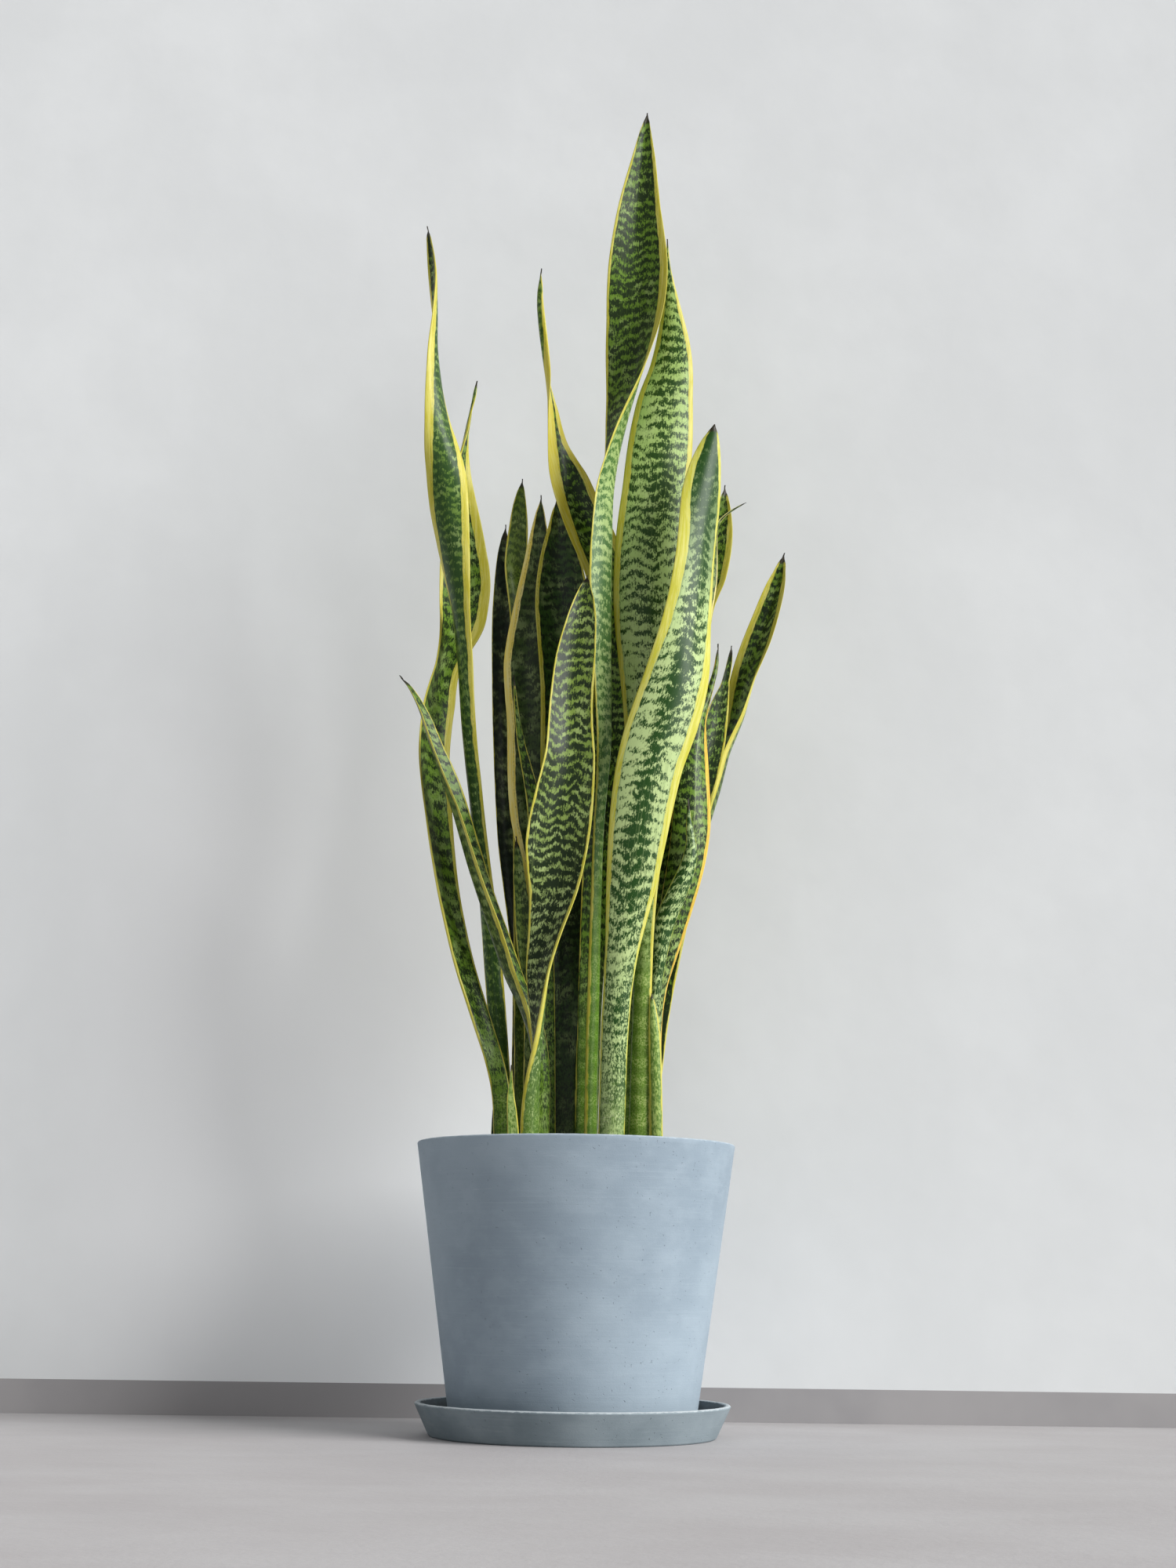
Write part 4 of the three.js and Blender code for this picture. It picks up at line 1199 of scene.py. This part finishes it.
@dataclass
class Studio:
    """The plain pale floor, the soft light from the right and the camera."""

    lens: float = 48.3
    sensor: float = 36.0
    camera_place: tuple[float, float, float] = (0.0, -2.018, 0.140)
    pitch: float = 13.27
    roll: float = 0.75
    yaw: float = 0.189
    backdrop: Colour = srgb(214, 214, 217)
    ambient: float = 0.31
    wall_depth: float = 0.235
    skirting: float = 0.034
    sun_power: float = 3.9
    sun_spread: float = 38.0
    sun_turn: float = 62.0
    sun_rise: float = 27.0
    sun_reach: float = 3.0
    sky_tint: Colour = (0.93, 0.96, 1.0)
    floor_reach: float = 14.0
    floor_grey: Colour = srgb(180, 176, 176)
    floor_pale: Colour = srgb(187, 184, 184)
    floor_smear: Colour = srgb(172, 169, 171)
    wall_reach: float = 9.0
    wall_top: float = 7.0
    skirting_depth: float = 0.004
    # A patch of painted light low on the left of the wall, paler where the plant's shadow falls.
    painted_light_centre: float = -0.27
    painted_light_reach: tuple[float, float] = (0.10, 0.34)
    painted_light_height: tuple[float, float] = (0.50, 1.00)
    fill_place: tuple[float, float, float] = (-0.9, -3.4, 1.6)
    fill_aim: tuple[float, float, float] = (0.0, 0.0, 0.6)
    fill_size: tuple[float, float] = (2.4, 1.8)
    fill_power: float = 6.0

    def camera(self) -> None:
        """Place the camera: heading by yaw, tilted up by pitch, then rolled about its axis."""
        yaw, pitch, roll = (math.radians(v) for v in (self.yaw, self.pitch, self.roll))
        forward = Vector((math.sin(yaw) * math.cos(pitch), math.cos(yaw) * math.cos(pitch),
                          math.sin(pitch)))
        right = Vector((math.cos(yaw), -math.sin(yaw), 0))
        up = right.cross(forward)
        turned_right = right * math.cos(roll) + up * math.sin(roll)
        turned_up = up * math.cos(roll) - right * math.sin(roll)
        data = bpy.data.cameras.new("camera")
        data.lens = self.lens
        data.sensor_width = self.sensor
        data.clip_start, data.clip_end = 0.05, 60.0
        camera = bpy.data.objects.new("camera", data)
        turn = Matrix((turned_right, turned_up, -forward)).transposed().to_4x4()
        camera.matrix_world = Matrix.Translation(self.camera_place) @ turn
        bpy.context.scene.collection.objects.link(camera)
        bpy.context.scene.camera = camera

    def floor(self, level: float) -> None:
        """Lay the floor: a wide grey square with soft clouds and smears.

        Args:
            level: height of the floor.
        """
        reach = self.floor_reach
        points = [(-reach, -reach, level), (reach, -reach, level),
                  (reach, reach, level), (-reach, reach, level)]
        mesh = bpy.data.meshes.new("floor")
        mesh.from_pydata(points, [], [[0, 1, 2, 3]])
        shader = Shader("floor_plain")
        place = shader.place()
        x, y, z = shader.parts(place)
        stretched = shader.vector(x * 1.4, y * 2.2, z)
        cloud = shader.noise(stretched, 3.0, 4.0, 0.6)
        smear = shader.noise(stretched, 14.0, 4.0, 0.65)
        grey = shader.blend(cloud.rise(0.32, 0.68), self.floor_grey, self.floor_pale)
        colour = shader.blend(smear.rise(0.45, 0.8) * 0.18, grey, self.floor_smear)
        shader.relief(shader.noise(place, 120.0, 3.0, 0.6), 0.0004)
        mesh.materials.append(shader.finish(Base_Color=colour, Roughness=0.75,
                                            Specular_IOR_Level=0.25))
        floor = bpy.data.objects.new("floor", mesh)
        bpy.context.scene.collection.objects.link(floor)

    def upright(self, name: str, depth: float, low: float, high: float, tone: Colour,
                patch: Colour, pale: Colour) -> None:
        """Stand a plain panel behind the plant that only shows from the front, with painted light
        low on the left.

        Args:
            name: the panel's name.
            depth: how far behind the plant's axis it stands.
            low: height of its lower edge.
            high: height of its upper edge.
            tone: its colour.
            patch: colour of its soft patches.
            pale: its colour in the patch of painted light low on the left, where the plant's shadow
                falls.
        """
        reach = self.wall_reach
        mesh = bpy.data.meshes.new(name)
        mesh.from_pydata([(-reach, depth, low), (reach, depth, low), (reach, depth, high),
                          (-reach, depth, high)], [], [[0, 1, 2, 3]])
        shader = Shader(name)
        place = shader.place()
        cloud = shader.noise(place, 4.0, 4.0, 0.6)
        colour = shader.blend(cloud.rise(0.35, 0.72), tone, patch)
        x, _, z = shader.parts(place)
        # Painted light: the panel turns paler low on the left, lightening the plant's shadow there.
        beside = (x - self.painted_light_centre).size().rise(*self.painted_light_reach, 1.0, 0.0)
        colour = shader.blend(beside * z.rise(*self.painted_light_height, 1.0, 0.0), colour, pale)
        shader.relief(shader.noise(place, 22.0, 3.0, 0.5), 0.0005)
        material = shader.finish(Base_Color=colour, Roughness=0.85, Specular_IOR_Level=0.2)
        clear = shader.node("ShaderNodeBsdfTransparent")
        behind = shader.node("ShaderNodeNewGeometry", None, None, "Backfacing")
        both = shader.node("ShaderNodeMixShader", None, {0: behind, 2: clear})
        shader.tree.links.new(shader.surface.outputs["BSDF"], both.socket.node.inputs[1])
        output = next(n for n in shader.tree.nodes if n.type == "OUTPUT_MATERIAL")
        shader.tree.links.new(both.socket, output.inputs["Surface"])
        mesh.materials.append(material)
        panel = bpy.data.objects.new(name, mesh)
        bpy.context.scene.collection.objects.link(panel)

    def light(self, name: str, place: tuple[float, float, float], aim: tuple[float, float, float],
              size: tuple[float, float], power: float, tint: Colour = (1, 1, 1)) -> None:
        """Hang one soft rectangular lamp.

        Args:
            name: the lamp's name.
            place: where it hangs.
            aim: the point that it faces.
            size: its width and height.
            power: watts.
            tint: colour of its light.
        """
        data = bpy.data.lights.new(name, "AREA")
        data.shape = "RECTANGLE"
        data.size, data.size_y = size
        data.energy = power
        data.color = tint
        lamp = bpy.data.objects.new(name, data)
        lamp.visible_camera = False
        way = Vector(aim) - Vector(place)
        lamp.matrix_world = (Matrix.Translation(place)
                             @ way.to_track_quat("-Z", "Y").to_matrix().to_4x4())
        bpy.context.scene.collection.objects.link(lamp)

    def daylight(self) -> None:
        """Let in broad soft daylight from the right, a little in front and above."""
        data = bpy.data.lights.new("daylight", "SUN")
        data.energy = self.sun_power
        data.angle = math.radians(self.sun_spread)
        lamp = bpy.data.objects.new("daylight", data)
        turn, rise = math.radians(self.sun_turn), math.radians(self.sun_rise)
        way = Vector((-math.sin(turn) * math.cos(rise), math.cos(turn) * math.cos(rise),
                      -math.sin(rise)))
        lamp.matrix_world = (Matrix.Translation(-self.sun_reach * way)
                             @ way.to_track_quat("-Z", "Y").to_matrix().to_4x4())
        bpy.context.scene.collection.objects.link(lamp)

    def surroundings(self) -> None:
        """Fill the world: pale where the camera sees it, dimmer as a source of light."""
        world = bpy.data.worlds.new("pale_room")
        world.use_nodes = True
        tree = world.node_tree
        tree.nodes.clear()
        seen = tree.nodes.new("ShaderNodeBackground")
        seen.inputs["Color"].default_value = (*self.backdrop, 1)
        fill = tree.nodes.new("ShaderNodeBackground")
        fill.inputs["Color"].default_value = (*self.sky_tint, 1)
        fill.inputs["Strength"].default_value = self.ambient
        path = tree.nodes.new("ShaderNodeLightPath")
        mix = tree.nodes.new("ShaderNodeMixShader")
        output = tree.nodes.new("ShaderNodeOutputWorld")
        tree.links.new(path.outputs["Is Camera Ray"], mix.inputs[0])
        tree.links.new(fill.outputs[0], mix.inputs[1])
        tree.links.new(seen.outputs[0], mix.inputs[2])
        tree.links.new(mix.outputs[0], output.inputs["Surface"])
        bpy.context.scene.world = world

    def build(self, level: float) -> None:
        """Set up the whole studio.

        Args:
            level: height of the floor.
        """
        bpy.context.scene.view_settings.view_transform = "Standard"
        self.camera()
        self.floor(level)
        self.surroundings()
        # The last colour of each panel is its painted light low on the left; the skirting's is
        # close to its own tone.
        self.upright("backdrop_wall", self.wall_depth, level, self.wall_top, srgb(222, 224, 224),
                     srgb(228, 230, 230), srgb(251, 252, 252))
        self.upright("backdrop_skirting", self.wall_depth - self.skirting_depth, level,
                     self.skirting, srgb(166, 163, 163), srgb(152, 150, 151), srgb(164, 161, 161))
        self.daylight()
        self.light("front_fill", self.fill_place, self.fill_aim, self.fill_size, self.fill_power)


# --------------------------------------------------------------------------- the plant


def main() -> None:
    """Build the studio, the pot, the saucer, the soil and the leaves, and report each piece."""
    logging.basicConfig(level=logging.INFO, format="%(message)s")
    pot_low, pot_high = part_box("pot")
    dish_low, dish_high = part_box("saucer")
    soil_low, soil_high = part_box("soil")
    Studio().build(CAD_BOX[0].z)

    pot = TurnedVessel(
        node="pot", slot="pot_composite", name="pot_shell", top_radius=pot_high.x,
        foot_radius=0.1125, height=pot_high.z - pot_low.z, wall=0.007, floor=0.009,
        base=pot_low.z, hole=0.009, seed=51,
        finish=CompositeFinish(
            "pot_composite", body=srgb(140, 155, 167), cloud=srgb(154, 169, 180),
            pale=srgb(170, 184, 194), rim=srgb(184, 195, 202), rim_height=pot_high.z))
    dish = TurnedVessel(
        node="saucer", slot="saucer_composite", name="saucer_dish", top_radius=dish_high.x,
        foot_radius=0.132, height=dish_high.z - dish_low.z, wall=0.0055, floor=0.006,
        base=dish_low.z, hole=0.0, seed=61,
        finish=CompositeFinish(
            "saucer_composite", body=srgb(114, 127, 133), cloud=srgb(138, 150, 156),
            pale=srgb(156, 167, 172), rim=srgb(196, 203, 205), rim_height=dish_high.z))
    slope = (pot.top_radius - pot.foot_radius) / pot.height
    foot_clearance, edge_clearance = 1.2 * MM, 0.4 * MM
    soil_foot = pot.foot_radius - pot.wall + slope * (soil_low.z - pot.base) - foot_clearance
    soil = SoilBed(radius=soil_high.x - edge_clearance, foot_radius=soil_foot,
                   edge_height=0.2373, crown=0.007, bottom=soil_low.z)
    for builder in (dish, pot, soil, *leaf_family()):
        piece = builder.build()
        LOG.info("%s: %d faces for %s", piece.name, len(piece.data.polygons),
                 getattr(builder, "node", "soil"))


if __name__ == "__main__":
    main()
